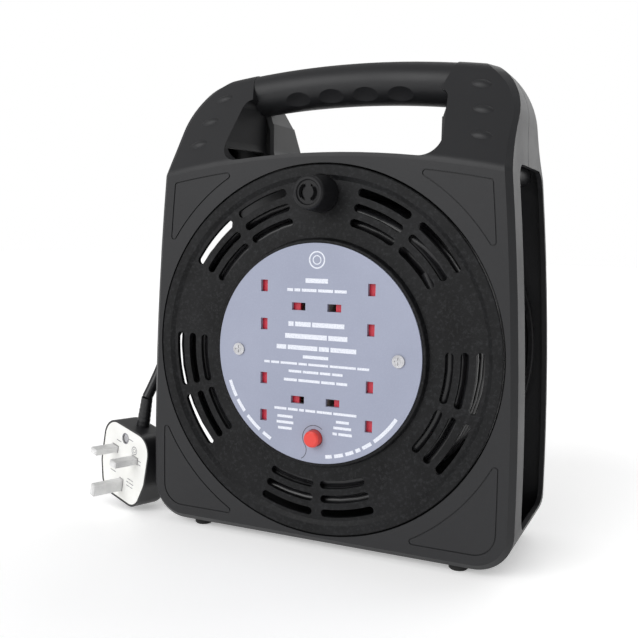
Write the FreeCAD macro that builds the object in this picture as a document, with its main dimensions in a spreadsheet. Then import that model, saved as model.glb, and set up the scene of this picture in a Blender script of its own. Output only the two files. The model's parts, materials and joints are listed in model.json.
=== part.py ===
import FreeCAD, Part
import math
import os

import Sketcher
from FreeCAD import Placement, Rotation, Vector

# A cable reel in a carry case: a drum with four shuttered sockets turns inside two moulded
# half shells that join at a seam and rise into a handle.
# Millimetres. +X is to the right, +Y to the back and +Z up. The floor is Z = 0, X = 0 is the
# middle of the case, and Y = 0 is half way between the knob's front and the case's back.

SIZES = [
    # Case
    ("case_depth", 93, "front face to rear face"),
    ("foot_height", 3.8, "rubber foot below the case"),
    ("axis_height", 116.5, "floor to the drum's axis"),
    ("half_width", 115.8, "at the widest place"),
    ("widest_drop", 90, "widest place, below the axis"),
    ("side_bow", 1845, "radius of the bowed sides"),
    ("shoulder_inset", 11.6, "shoulders, in from the widest place"),
    ("waist_round", 150, "between the bowed sides and the shoulders"),
    ("bottom_corner", 22, "corner radius"),
    ("top_corner", 36, "corner radius of the handle"),
    ("ridge_rise", 113.3, "axis to the ridge of the arched top"),
    ("arch_radius", 520, "radius of the arched top"),
    ("handle_rise", 169.5, "axis to the top of the handle"),
    ("handle_round", 13.8, "radius over the top of the handle"),
    ("wall", 2.8, "shell wall"),
    ("edge_chamfer", 3.4, "between the faces and the sides"),
    ("ridge_round", 7, "rounding where the shoulders start"),
    ("seam_groove", 0.6, "width and depth of the line at the seam"),
    ("panel_arc", 116, "radius of the corner panels' inner line"),
    ("panel_margin", 9, "corner panels' outer line, in from the sides"),
    ("panel_line", 0.7, "width and depth of the corner panels' line"),
    # Handle hole and grip
    ("hole_half_front", 68.5, "half width of the handle hole at the front"),
    ("hole_half_seam", 60, "half width of the handle hole at the seam"),
    ("hole_half_rear", 54.5, "half width of the handle hole in the rear shell"),
    ("hole_corner_front", 12, "lower corners"),
    ("hole_corner_rear", 9, "lower corners"),
    ("hole_top", 38.3, "height of the handle hole above the arched top"),
    ("hole_corner_top", 5, "upper corners, beside the grip"),
    ("grip_half_depth", 13.3, "grip, front to back"),
    ("grip_half_height", 12.3, "grip, top to bottom"),
    ("grip_sink", 0.5, "grip below the shoulders"),
    ("grip_end_top", 65, "end of the grip at its top"),
    ("grip_end_bottom", 57, "end of the grip at its underside"),
    ("finger_pitch", 22, "between the finger grooves"),
    ("finger_depth", 0.8, "depth of a finger groove"),
    ("window_front", 9, "window in the shoulder's inner wall, from the front face"),
    ("window_length", 34, "front to back"),
    ("window_rise", 118.5, "top of the window above the axis"),
    # Side openings
    ("opening_front", 20.5, "from the front face"),
    ("opening_rear", 6.5, "from the rear face"),
    ("opening_drop", 95, "lower edge, below the axis"),
    ("opening_rise", 107, "upper edge, above the axis"),
    ("opening_corner", 10, "corner radius"),
    # Screw posts and screws
    ("post_radius", 4.2, "screw posts in the case"),
    ("low_post_inset", 19.8, "lower posts, in from the widest place"),
    ("low_post_z", 101, "lower posts, below the axis"),
    ("high_post_inset", 22.8, "upper posts, in from the widest place"),
    ("high_post_z", 105, "upper posts, above the axis"),
    ("top_post_inset", 31.8, "posts in the shoulders, in from the widest place"),
    ("top_post_z", 131, "posts in the shoulders, above the axis"),
    ("screw_radius", 1.9, "shank of a case screw"),
    ("screw_head", 3.6, "radius of a case screw's head"),
    ("head_height", 2.2, "height of a screw's head"),
    ("screw_length", 18, "shank of a case screw"),
    ("head_space", 0.5, "round a screw's head"),
    # Feet
    ("foot_radius", 5.5, "rubber foot"),
    ("foot_side", 31.8, "in from the widest place"),
    ("foot_inset", 11, "from the front or rear face"),
    ("foot_edge", 0.6, "bevel under a foot"),
    ("foot_stem", 2.2, "stem of a foot, pressed into the case"),
    ("screw_seat", 9, "under a case screw's head, behind the seam"),
    # Drum
    ("flange_radius", 106.7, "both flanges"),
    ("flange_gap", 1.0, "between the front flange and the case"),
    ("flange_recess", 1.0, "flange below the case's front face"),
    ("flange_thick", 2.8, "both flanges"),
    ("rim_rise", 1.6, "raised rim of the front flange"),
    ("rim_width", 5.7, "flat top of the raised rim"),
    ("drum_width", 77, "between the flanges"),
    ("barrel_radius", 74, "outside of the barrel, just inside the slots"),
    ("barrel_wall", 2.5, "wall of the barrel"),
    ("boss_radius", 65.3, "round boss that holds the socket plate"),
    ("ledge_width", 3.3, "ledge under the plate's edge"),
    ("boss_lip", 1.6, "boss above the back of the plate"),
    ("drum_post_radius", 4, "posts in the barrel"),
    ("drum_post_long", 16, "posts in the barrel"),
    ("drum_screw_radius", 1.6, "shank of a drum screw"),
    ("drum_screw_long", 12, "shank of a drum screw"),
    ("slot_outer", 94.2, "centre line of the outer slots"),
    ("slot_pitch", 8.55, "between the rows of slots"),
    ("slot_width", 4.7, "width of a slot"),
    ("slot_start", 3.25, "degrees from the middle of a group"),
    ("slot_end", 21, "degrees from the middle of a group"),
    # Bearing
    ("spindle_radius", 12, "fixed spindle"),
    ("bearing_gap", 0.05, "running fit on the spindle"),
    ("end_float", 0.3, "play along the spindle"),
    ("hub_radius", 17, "hub of the drum"),
    ("hub_length", 28, "hub of the drum"),
    ("hub_step", 0.5, "hub behind the rear flange"),
    ("spindle_screw", 2.5, "shank of the spindle's screw"),
    ("washer_thick", 2, "washer that keeps the drum on"),
    # Socket plate
    ("plate_radius", 63.3, "socket plate"),
    ("plate_thick", 2.4, "socket plate"),
    ("plate_proud", 3.5, "plate above the case's front face"),
    ("plate_fit", 0.3, "round the socket plate"),
    ("row_z", 27.1, "middle of a socket, from the axis"),
    ("earth_x", 11.1, "earth aperture, from the axis"),
    ("pin_pitch", 22.23, "between the pins, both ways"),
    ("earth_long", 8.5, "earth aperture"),
    ("line_long", 6.8, "live and neutral apertures"),
    ("slit", 4.4, "width of every aperture"),
    ("plate_screw_x", 50, "plate screws"),
    ("plate_screw_radius", 1.7, "plate screws"),
    ("plate_screw_long", 14, "plate screws"),
    ("button_z", 48.5, "reset button, below the axis"),
    # Inside the drum
    ("base_radius", 59.4, "socket base"),
    ("base_depth", 25, "socket base"),
    ("shutter_thick", 2.2, "shutter"),
    ("shutter_gap", 0.2, "each side of a shutter"),
    ("shutter_cover", 0.3, "shutter past each side of an aperture"),
    ("shutter_travel", 5, "slide of a shutter"),
    ("arm_half", 2.6, "half width of a shutter's arm"),
    ("shutter_spring", 1.6, "outside radius of a shutter's spring"),
    ("spring_space", 10, "length of a shutter's spring"),
    ("clip_start", 7.5, "front of the clips, behind the plate"),
    ("well_gap", 1.2, "round a pin in the socket base"),
    ("bar_thick", 1, "brass bars"),
    ("bar_width", 5, "brass bars"),
    ("bar_pitch", 4, "between the levels of the bars"),
    # Reset button
    ("button_radius", 4.9, "reset button"),
    ("button_proud", 5, "reset button above the plate"),
    ("button_gap", 0.3, "round the button"),
    ("button_travel", 2.5, "slide of the button"),
    ("collar_radius", 6.2, "button's collar behind the plate"),
    ("stem_radius", 1.8, "button's stem"),
    ("cutout_start", 10, "cut-out behind the plate"),
    ("cutout_size", 15, "cut-out, across"),
    ("cutout_depth", 20, "cut-out, front to back"),
    # Knob
    ("knob_z", 90.5, "knob above the axis"),
    ("knob_reach", 17.5, "knob's front above the case's front face"),
    ("knob_base", 10.5, "radius at the flange"),
    ("knob_front", 9.4, "radius at the front"),
    ("knob_pin", 3.5, "pin that the knob turns on"),
    ("knob_seat", 0.3, "knob above the flange"),
    ("pin_head", 1.3, "head beyond the knob's pin"),
    ("pin_head_long", 2, "head of the knob's pin"),
    ("knob_slot", 4.2, "curved slots in the knob's front"),
    # Cord
    ("cord_radius", 3.5, "three-core cord"),
    ("cord_layers", 3, "layers of cord on the drum"),
    ("layer_rise", 6.06, "from one layer to the next"),
    # Plug
    ("plug_width", 50, "plug"),
    ("plug_top", 30, "cord end, above the middle of the pins"),
    ("plug_bottom", 22, "earth end, below the middle of the pins"),
    ("plug_depth", 23, "pin face to the back"),
    ("plug_wall", 2.6, "plug cover"),
    ("plug_split", 6, "pin face to the joint with the cover"),
    ("card_recess", 0.6, "recess for the plug's card"),
    ("pin_thick", 4, "every pin"),
    ("line_pin_wide", 6.35, "live and neutral pins"),
    ("line_pin_long", 17.7, "live and neutral pins"),
    ("earth_pin_wide", 8, "earth pin"),
    ("earth_pin_long", 22.7, "earth pin"),
    ("guard_length", 20, "cord guard"),
    ("guard_radius", 5, "cord guard at the plug"),
]


class Size:
    """A length that knows its number and the expression that gives it."""

    def __init__(self, text, value):
        self.text, self.value = text, value

    def _join(self, other, sign, swap=False):
        other = other if isinstance(other, Size) else Size(repr(other), other)
        left, right = (other, self) if swap else (self, other)
        results = {"+": lambda a, b: a + b, "-": lambda a, b: a - b,
                   "*": lambda a, b: a * b, "/": lambda a, b: a / b}
        return Size(f"({left.text} {sign} {right.text})", results[sign](left.value, right.value))

    def __add__(self, other):
        return self._join(other, "+")

    def __radd__(self, other):
        return self._join(other, "+", True)

    def __sub__(self, other):
        return self._join(other, "-")

    def __rsub__(self, other):
        return self._join(other, "-", True)

    def __mul__(self, other):
        return self._join(other, "*")

    def __rmul__(self, other):
        return self._join(other, "*", True)

    def __truediv__(self, other):
        return self._join(other, "/")

    def __neg__(self):
        return self * -1


def number(size):
    return size.value if isinstance(size, Size) else size


doc = FreeCAD.newDocument("CordReel")
sheet = doc.addObject("Spreadsheet::Sheet", "Sizes")


class Dimensions:
    """The sheet's cells by name."""


d = Dimensions()
for row, (name, value, note) in enumerate(SIZES, start=1):
    sheet.set(f"A{row}", name)
    sheet.set(f"B{row}", str(value))
    sheet.set(f"C{row}", note)
    sheet.setAlias(f"B{row}", name)
    setattr(d, name, Size(f"Sizes.{name}", value))
doc.recompute()

# Places that several pieces share
CASE_FRONT = (d.knob_reach - d.case_depth) / 2
CASE_REAR = CASE_FRONT + d.case_depth
SEAM = CASE_FRONT + d.case_depth / 2
AXIS = d.axis_height
LOW_POST_X = d.half_width - d.low_post_inset
HIGH_POST_X = d.half_width - d.high_post_inset
TOP_POST_X = d.half_width - d.top_post_inset
FOOT_X = d.half_width - d.foot_side
CASE_BOTTOM = d.foot_height
PLATE_FACE = CASE_FRONT - d.plate_proud
PLATE_BACK = PLATE_FACE + d.plate_thick
FLANGE_FACE = CASE_FRONT + d.flange_recess
FLANGE_BACK = FLANGE_FACE + d.flange_thick
REAR_FLANGE = FLANGE_BACK + d.drum_width
REAR_INSIDE = CASE_REAR - d.wall
HUB_FRONT = REAR_FLANGE + d.flange_thick - d.hub_length
LINE_X = d.earth_x + d.pin_pitch
SHUTTER_FRONT = PLATE_BACK + d.shutter_gap
SHUTTER_BACK = SHUTTER_FRONT + d.shutter_thick
BASE_BACK = PLATE_BACK + d.base_depth
CORNERS = [("upper_right", 1, 1), ("lower_right", 1, -1), ("upper_left", -1, 1), ("lower_left", -1, -1)]

parts = []


def sub_part(label, thing):
    """Names a finished sub-part and keeps it for the export."""
    thing.Label = label
    parts.append(thing)
    return thing


def bind(thing, **sizes):
    for name, size in sizes.items():
        setattr(thing, name, number(size))
        if isinstance(size, Size):
            thing.setExpression(name, size.text)


def place(thing, x=0, y=0, z=0, rotation=Rotation()):
    thing.Placement = Placement(Vector(number(x), number(y), number(z)), rotation)
    for name, size in (("x", x), ("y", y), ("z", z)):
        if isinstance(size, Size):
            thing.setExpression(f"Placement.Base.{name}", size.text)


TO_BACK = Rotation(Vector(1, 0, 0), -90)
TO_FRONT = Rotation(Vector(1, 0, 0), 90)


def rod(name, radius, length, x=0, y=0, z=0, rotation=TO_BACK):
    """A cylinder from a point, towards the back unless turned."""
    thing = doc.addObject("Part::Cylinder", name)
    bind(thing, Radius=radius, Height=length)
    place(thing, x, y, z, rotation)
    return thing


def block(name, x, y, z):
    """A box between pairs of low and high places."""
    thing = doc.addObject("Part::Box", name)
    bind(thing, Length=x[1] - x[0], Width=y[1] - y[0], Height=z[1] - z[0])
    place(thing, x[0], y[0], z[0])
    return thing


def about(middle, full):
    return middle - full / 2, middle + full / 2


def fuse(name, things):
    joined = doc.addObject("Part::MultiFuse", name)
    joined.Shapes = things
    return joined


def cut(name, base, tools):
    """The base without the tools."""
    tool = tools[0] if len(tools) == 1 else fuse(name + "_tools", tools)
    result = doc.addObject("Part::Cut", name)
    result.Base, result.Tool = base, tool
    return result


def group(name, things):
    compound = doc.addObject("Part::Compound", name)
    compound.Links = things
    return compound


def feature(name, shape):
    thing = doc.addObject("Part::Feature", name)
    thing.Shape = shape
    return thing


def origin_plane(body, role):
    return next(item for item in body.Origin.OriginFeatures if item.Role == role)


def new_sketch(body, name, role):
    sketch = body.newObject("Sketcher::SketchObject", name)
    sketch.AttachmentSupport = (origin_plane(body, role), [""])
    sketch.MapMode = "FlatFace"
    return sketch


def pin_point(sketch, line, end, x, y):
    """Ties one end of a line to its place from the origin."""
    for kind, axis, size in (("DistanceX", -2, x), ("DistanceY", -1, y)):
        if not isinstance(size, Size) and size == 0:
            sketch.addConstraint(Sketcher.Constraint("PointOnObject", line, end, axis))
            continue
        index = sketch.addConstraint(Sketcher.Constraint(kind, -1, 1, line, end, number(size)))
        if isinstance(size, Size):
            sketch.setExpression(f"Constraints[{index}]", size.text)


def draw_outline(sketch, points):
    """A closed outline of straight lines, with every corner tied to its place."""
    corners = [Vector(number(x), number(y), 0) for x, y in points]
    first = sketch.GeometryCount
    for start, end in zip(corners, corners[1:] + corners[:1]):
        sketch.addGeometry(Part.LineSegment(start, end), False)
    count = len(points)
    for index, (x, y) in enumerate(points):
        before = first + (index - 1) % count
        sketch.addConstraint(Sketcher.Constraint("Coincident", before, 2, first + index, 1))
        pin_point(sketch, first + index, 1, x, y)


def draw_circle(sketch, x, y, radius):
    index = sketch.addGeometry(Part.Circle(Vector(number(x), number(y), 0), Vector(0, 0, 1),
                                           number(radius)), False)
    pin_point(sketch, index, 3, x, y)
    tie = sketch.addConstraint(Sketcher.Constraint("Radius", index, number(radius)))
    if isinstance(radius, Size):
        sketch.setExpression(f"Constraints[{tie}]", radius.text)


def turned(name, profile, x=0, y=0, z=0):
    """A body turned about a front-to-back axis, from (radius, depth) points."""
    body = doc.addObject("PartDesign::Body", name)
    sketch = new_sketch(body, name + "_profile", "XY_Plane")
    draw_outline(sketch, profile)
    turn = body.newObject("PartDesign::Revolution", name + "_turn")
    turn.Profile = sketch
    turn.ReferenceAxis = (sketch, ["V_Axis"])
    turn.Angle = 360
    place(body, x, y, z)
    return body


def pad_body(name, draw, thickness):
    """A body padded from its front face towards the back."""
    body = doc.addObject("PartDesign::Body", name)
    sketch = new_sketch(body, name + "_outline", "XZ_Plane")
    draw(sketch)
    pad = body.newObject("PartDesign::Pad", name + "_pad")
    pad.Profile = sketch
    bind(pad, Length=thickness)
    pad.Reversed = True
    return body


def pocket_through(body, name, draw):
    sketch = new_sketch(body, name + "_outline", "XZ_Plane")
    draw(sketch)
    pocket = body.newObject("PartDesign::Pocket", name)
    pocket.Profile = sketch
    pocket.Type = "ThroughAll"
    pocket.Midplane = True


def draw_box(sketch, x, z, wide, tall):
    draw_outline(sketch, [(x - wide / 2, z - tall / 2), (x + wide / 2, z - tall / 2),
                          (x + wide / 2, z + tall / 2), (x - wide / 2, z + tall / 2)])


def screw(name, x, y, z, head, head_height, shank, length, rotation):
    """A pan head with a cross recess and a plain shank; y is under the head."""
    under = rod(name + "_shank", shank, length, rotation=Rotation())
    top = rod(name + "_head", head, head_height, z=-head_height, rotation=Rotation())
    arm, slot = head * 0.62, head * 0.11
    recess = [block(f"{name}_recess_{n}", (-a, a), (-b, b), (-head_height - 1, -head_height * 0.45))
              for n, (a, b) in enumerate(((arm, slot), (slot, arm)))]
    result = cut(name, fuse(name + "_solid", [under, top]), recess)
    place(result, x, y, z, rotation)
    return result


def wire(points):
    return Part.makePolygon([Vector(*point) for point in points])


def spring_shape(start, direction, length, radius, wire_radius, turns):
    """A round-wire spring along a direction, with its ends square to it."""
    path = Part.makeHelix(length / turns, length, radius)
    circle = Part.Wire(Part.makeCircle(wire_radius, Vector(radius, 0, 0), Vector(0, 1, 0)))
    coil = Part.Wire(path).makePipeShell([circle], True, True)
    coil.Placement = Placement(Vector(*start), Rotation(Vector(0, 0, 1), Vector(*direction)))
    return coil


# ---------------------------------------------------------------------------------------
# Case. The form is a side profile carried round the arch's centre, inside a front outline.

front, rear, seam = CASE_FRONT.value, CASE_REAR.value, SEAM.value
axis, bottom = AXIS.value, CASE_BOTTOM.value
wall = d.wall.value
arch_z = (AXIS + d.ridge_rise - d.arch_radius).value
handle_radius = (d.arch_radius + d.handle_rise - d.ridge_rise).value
half_depth = d.case_depth.value / 2
ARCH_CENTRE = Vector(0, 0, arch_z)
BEYOND = 60


def shoulder_slope():
    """The angle of the slope that touches the handle's round top, and the point it starts at."""
    start = Vector(0, front, (AXIS + d.ridge_rise).value)
    centre = Vector(0, seam, (AXIS + d.handle_rise - d.handle_round).value)
    reach = centre - start
    lean = math.atan2(reach.z, reach.y) + math.asin(d.handle_round.value / reach.Length)
    return start, centre, lean


def side_profile(inset):
    """The case from the side, as a face at X = 0, set in by a wall."""
    start, centre, lean = shoulder_slope()
    along = Vector(0, math.cos(lean), math.sin(lean))
    outward = Vector(0, -math.sin(lean), math.cos(lean))
    corner = start - outward * inset
    corner += along * (inset * (1 - math.sin(lean)) / math.cos(lean))
    rounding = max(d.ridge_round.value - inset, 0.5)
    trim = rounding * math.tan((math.pi / 2 - lean) / 2)
    low = corner - Vector(0, 0, trim)
    high = corner + along * trim
    bisector = (outward + Vector(0, -1, 0)).normalize()
    middle = low + Vector(0, rounding, 0) + bisector * rounding
    touch = centre + outward * (d.handle_round.value - inset)
    top = centre + Vector(0, 0, d.handle_round.value - inset)
    foot = Vector(0, front + inset, bottom - BEYOND / 2)

    def mirror(point):
        return Vector(0, 2 * seam - point.y, point.z)

    edges = [Part.LineSegment(foot, low), Part.Arc(low, middle, high), Part.LineSegment(high, touch),
             Part.Arc(touch, top, mirror(touch)), Part.LineSegment(mirror(touch), mirror(high)),
             Part.Arc(mirror(high), mirror(middle), mirror(low)),
             Part.LineSegment(mirror(low), mirror(foot)), Part.LineSegment(mirror(foot), foot)]
    return Part.Face(Part.Wire([edge.toShape() for edge in edges]))


def front_outline(inset, top_slack=1.5):
    """The case from the front, as a face at Y = 0, set in by a wall."""
    widest = (AXIS - d.widest_drop).value
    bow_centre = Vector(d.half_width.value - d.side_bow.value, 0, widest)
    bow = d.side_bow.value - inset
    base = bottom + inset
    corner = d.bottom_corner.value - inset
    # Lower corner: inside the bow, and resting on the base
    corner_z = base + corner
    corner_x = bow_centre.x + math.sqrt((bow - corner) ** 2 - (corner_z - widest) ** 2)
    corner_centre = Vector(corner_x, 0, corner_z)
    touch = bow_centre + (corner_centre - bow_centre).normalize() * bow
    lower_middle = corner_centre + Vector(1, 0, -1).normalize() * corner
    # Waist: a hollow arc that touches the bow and the upright shoulder
    side_x = (d.half_width - d.shoulder_inset).value - inset
    waist = d.waist_round.value + inset
    waist_run = side_x + waist - bow_centre.x
    waist_centre = Vector(side_x + waist, 0, widest + math.sqrt((bow + waist) ** 2 - waist_run ** 2))
    waist_touch = bow_centre + (waist_centre - bow_centre).normalize() * bow
    waist_top = Vector(side_x, 0, waist_centre.z)
    waist_middle = waist_centre + ((waist_touch + waist_top) / 2 - waist_centre).normalize() * waist
    bow_middle = bow_centre + ((touch + waist_touch) / 2 - bow_centre).normalize() * bow
    # Upper corner: inside the handle's arch, and touching the upright side
    arch = handle_radius + top_slack - inset
    round_corner = d.top_corner.value - inset
    upper_x = side_x - round_corner
    upper_centre = Vector(upper_x, 0, arch_z + math.sqrt((arch - round_corner) ** 2 - upper_x ** 2))
    towards = (upper_centre - ARCH_CENTRE).normalize()
    arch_touch = upper_centre + towards * round_corner
    upper_middle = upper_centre + (towards + Vector(1, 0, 0)).normalize() * round_corner
    side_end = Vector(side_x, 0, upper_centre.z)

    def mirror(point):
        return Vector(-point.x, 0, point.z)

    right = [Part.Arc(Vector(corner_x, 0, base), lower_middle, touch),
             Part.Arc(touch, bow_middle, waist_touch), Part.Arc(waist_touch, waist_middle, waist_top),
             Part.LineSegment(waist_top, side_end), Part.Arc(side_end, upper_middle, arch_touch)]
    edges = [edge.toShape() for edge in right]
    left = [edge.mirror(Vector(0, 0, 0), Vector(1, 0, 0)) for edge in edges]
    top = Part.Arc(arch_touch, Vector(0, 0, arch_z + arch), mirror(arch_touch)).toShape()
    base_line = Part.LineSegment(Vector(-corner_x, 0, base), Vector(corner_x, 0, base)).toShape()
    return Part.Face(Part.Wire(Part.__sortEdges__(edges + left + [top, base_line])))


def case_form(inset):
    profile = side_profile(inset)
    spread = 40
    profile.rotate(ARCH_CENTRE, Vector(0, 1, 0), -spread)
    swept = profile.revolve(ARCH_CENTRE, Vector(0, 1, 0), 2 * spread)
    outline = front_outline(inset)
    outline.translate(Vector(0, front - BEYOND, 0))
    prism = outline.extrude(Vector(0, d.case_depth.value + 2 * BEYOND, 0))
    return prism.common(swept)


def is_side_edge(form, edge):
    """True where a side of the outline meets a face, which is where the chamfer runs."""
    flat = 0
    for face in form.ancestorsOfType(edge, Part.Face):
        u, v = face.Surface.parameter(edge.valueAt((edge.FirstParameter + edge.LastParameter) / 2))
        if abs(face.normalAt(u, v).y) < 0.02:
            flat += 1
    return flat == 1


def ring_sector(low_radius, high_radius, y_low, y_high):
    """The space between two arches, front to back."""
    outer = Part.makeCylinder(high_radius, y_high - y_low, Vector(0, y_low, arch_z), Vector(0, 1, 0))
    inner = Part.makeCylinder(low_radius, y_high - y_low, Vector(0, y_low, arch_z), Vector(0, 1, 0))
    above = Part.makeBox(400, y_high - y_low, 600, Vector(-200, y_low, axis))
    return outer.cut(inner).common(above)


def tapered_block(half_low, half_high, y_low, y_high, z_low, z_high):
    """A block that narrows evenly from one depth to another."""
    ends = []
    for half, y in ((half_low, y_low), (half_high, y_high)):
        ends.append(wire([(-half, y, z_low), (half, y, z_low), (half, y, z_high), (-half, y, z_high),
                          (-half, y, z_low)]))
    return Part.makeLoft(ends, True, True)


def handle_hole(half_low, half_high, y_low, y_high, corner, grow):
    """The hole that the fingers go through, grown by a wall for the hollow inside."""
    low = d.arch_radius.value - grow
    high = (d.arch_radius + d.hole_top).value + grow
    space = tapered_block(half_low + grow, half_high + grow, y_low, y_high, axis, axis + 200)
    space = space.common(ring_sector(low, high, y_low, y_high))
    middle = axis + (d.ridge_rise + d.hole_top / 2).value
    for is_upper, radius in ((False, corner + grow), (True, d.hole_corner_top.value + grow)):
        corners = [edge for edge in space.Edges
                   if abs(edge.Vertexes[0].Point.y - edge.Vertexes[-1].Point.y) > 1
                   and (edge.CenterOfMass.z > middle) == is_upper
                   and abs(edge.Vertexes[0].Point.x) > half_high - 1]
        space = space.makeFillet(radius, corners)
    return space


def grip_tube(inset, half_length):
    """The round grip, carried round the arch's centre between the shoulders."""
    centre_radius = handle_radius - d.grip_sink.value - d.grip_half_height.value
    half_y, half_z = d.grip_half_depth.value - inset, d.grip_half_height.value - inset
    centre = Vector(0, seam, arch_z + centre_radius)
    section = Part.Face(Part.Wire(Part.Ellipse(centre + Vector(0, half_y, 0), centre + Vector(0, 0, half_z),
                                               centre).toShape()))
    spread = math.degrees(math.asin(half_length / centre_radius))
    section.rotate(ARCH_CENTRE, Vector(0, 1, 0), -spread)
    return section.revolve(ARCH_CENTRE, Vector(0, 1, 0), 2 * spread)


def grip_space(grow):
    """The space round the grip, wider at its top than at its underside."""
    low = (AXIS + d.handle_rise - d.grip_sink - 2 * d.grip_half_height).value - 8
    high = (AXIS + d.handle_rise).value + 10
    rise = (high - low)
    lean = (d.grip_end_top - d.grip_end_bottom).value / (2 * d.grip_half_height.value)
    bottom_half = d.grip_end_bottom.value - lean * 6 + grow
    top_half = bottom_half + lean * rise
    outline = wire([(-bottom_half, 0, low - grow), (bottom_half, 0, low - grow), (top_half, 0, high),
                    (-top_half, 0, high), (-bottom_half, 0, low - grow)])
    slab = Part.Face(outline)
    slab.translate(Vector(0, front - 1, 0))
    return slab.extrude(Vector(0, d.case_depth.value + 2, 0))


def finger_grooves():
    """Balls that press shallow hollows into the lower front and back of the grip."""
    ball = 22.0
    centre_radius = handle_radius - d.grip_sink.value - d.grip_half_height.value
    pitch = math.degrees(d.finger_pitch.value / centre_radius)
    reach = ball + d.grip_half_height.value - d.finger_depth.value
    tilt = math.radians(38)
    balls = []
    for side in (-1, 1):
        for place_index in (-1.5, -0.5, 0.5, 1.5):
            centre = Vector(0, seam + side * reach * math.cos(tilt), arch_z + centre_radius - reach * math.sin(tilt))
            globe = Part.makeSphere(ball, centre)
            globe.rotate(ARCH_CENTRE, Vector(0, 1, 0), place_index * pitch)
            balls.append(globe)
    return balls


def side_opening():
    """The opening for the cord in both sides, with round corners."""
    z_low, z_high = (AXIS - d.opening_drop).value, (AXIS + d.opening_rise).value
    y_low, y_high = front + d.opening_front.value, rear - d.opening_rear.value
    space = Part.makeBox(300, y_high - y_low, z_high - z_low, Vector(-150, y_low, z_low))
    corners = [edge for edge in space.Edges if abs(edge.Vertexes[0].Point.x - edge.Vertexes[-1].Point.x) > 1]
    space = space.makeFillet(d.opening_corner.value, corners)
    middle = Part.makeBox(2 * d.barrel_radius.value, 200, 400, Vector(-d.barrel_radius.value, -100, 0))
    return space.cut(middle)


def shoulder_bumps(toward_back):
    """Three raised, pointed ovals on each shoulder."""
    start, _, lean = shoulder_slope()
    bumps = []
    half_long, half_wide, sunk = 9.5, 3.9, 2.6
    arc_radius = (half_long ** 2 + half_wide ** 2) / (2 * half_wide)
    middle = Vector(0, 0, half_wide)
    arc = Part.Arc(Vector(-half_long, 0, 0), middle, Vector(half_long, 0, 0)).toShape()
    chord = Part.LineSegment(Vector(half_long, 0, 0), Vector(-half_long, 0, 0)).toShape()
    spindle = Part.Face(Part.Wire([arc, chord])).revolve(Vector(0, 0, 0), Vector(1, 0, 0), 360)
    for x, rise in ((81, 37.2), (85, 22.2), (87, 7.7)):
        radial = Vector(x, 0, (AXIS + d.ridge_rise).value + rise - arch_z)
        run = radial.Length - d.arch_radius.value
        y = front + run / math.tan(lean) + sunk * math.sin(lean)
        z = (AXIS + d.ridge_rise).value + rise - sunk * math.cos(lean)
        for side in (-1, 1):
            bump = spindle.copy()
            bump.rotate(Vector(0, 0, 0), Vector(0, 1, 0), side * 12)
            bump.translate(Vector(side * x, y, z))
            bumps.append(bump.mirror(Vector(0, seam, 0), Vector(0, 1, 0)) if toward_back else bump)
    return bumps


def corner_panel_lines():
    """Thin engraved lines round the four corners of the front face."""
    margin, line = d.panel_margin.value, d.panel_line.value
    outline = front_outline(margin, 0)
    under_arch = Part.Face(Part.Wire(Part.makeCircle(d.arch_radius.value - 6.5, ARCH_CENTRE, Vector(0, 1, 0))))
    disc = Part.Face(Part.Wire(Part.makeCircle(d.panel_arc.value, Vector(0, 0, axis), Vector(0, 1, 0))))
    lines = []
    for face in outline.common(under_arch).cut(disc).Faces:
        rounded = face.makeOffset2D(-2.0).makeOffset2D(2.0)
        ring = rounded.cut(rounded.makeOffset2D(-line))
        ring.translate(Vector(0, front - 1, 0))
        lines.append(ring.extrude(Vector(0, 1 + line, 0)))
    return lines


def post_places():
    return [(side * x.value, z.value) for side in (-1, 1)
            for x, z in ((LOW_POST_X, AXIS - d.low_post_z), (HIGH_POST_X, AXIS + d.high_post_z),
                         (TOP_POST_X, AXIS + d.top_post_z))]


def along_y(radius, y_low, y_high, x=0.0, z=None):
    return Part.makeCylinder(radius, y_high - y_low, Vector(x, y_low, axis if z is None else z), Vector(0, 1, 0))


def foot_places():
    return [(side * FOOT_X.value, y) for side in (-1, 1)
            for y in (front + d.foot_inset.value, rear - d.foot_inset.value)]


def add_front_details(shell):
    """Posts, foot sockets, bumps, corner panels and openings of the front shell."""
    bore = d.screw_radius.value
    for x, z in post_places():
        post = along_y(d.post_radius.value, front - 10, seam, x, z).common(outer_form)
        shell = shell.fuse(post).cut(along_y(bore, seam - d.screw_length.value + 1, seam, x, z))
    for bump in shoulder_bumps(False):
        shell = shell.fuse(bump.cut(inner_form))
    window = Part.makeBox(400, d.window_length.value, (d.window_rise - d.ridge_rise).value + 1.5,
                          Vector(-200, front + d.window_front.value, (AXIS + d.ridge_rise).value - 1.5))
    beside = d.hole_half_seam.value - 3
    window = window.cut(Part.makeBox(2 * beside, 300, 600, Vector(-beside, -150, 0)))
    beyond = d.hole_half_front.value + wall + 2
    window = window.common(Part.makeBox(2 * beyond, 300, 600, Vector(-beyond, -150, 0)))
    window = window.cut(ring_sector(1, d.arch_radius.value - wall, front - 1, rear + 1))
    drum_hole = along_y((d.flange_radius + d.flange_gap).value, front - 1, front + 10)
    return shell.cut([drum_hole, window] + corner_panel_lines())


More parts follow.
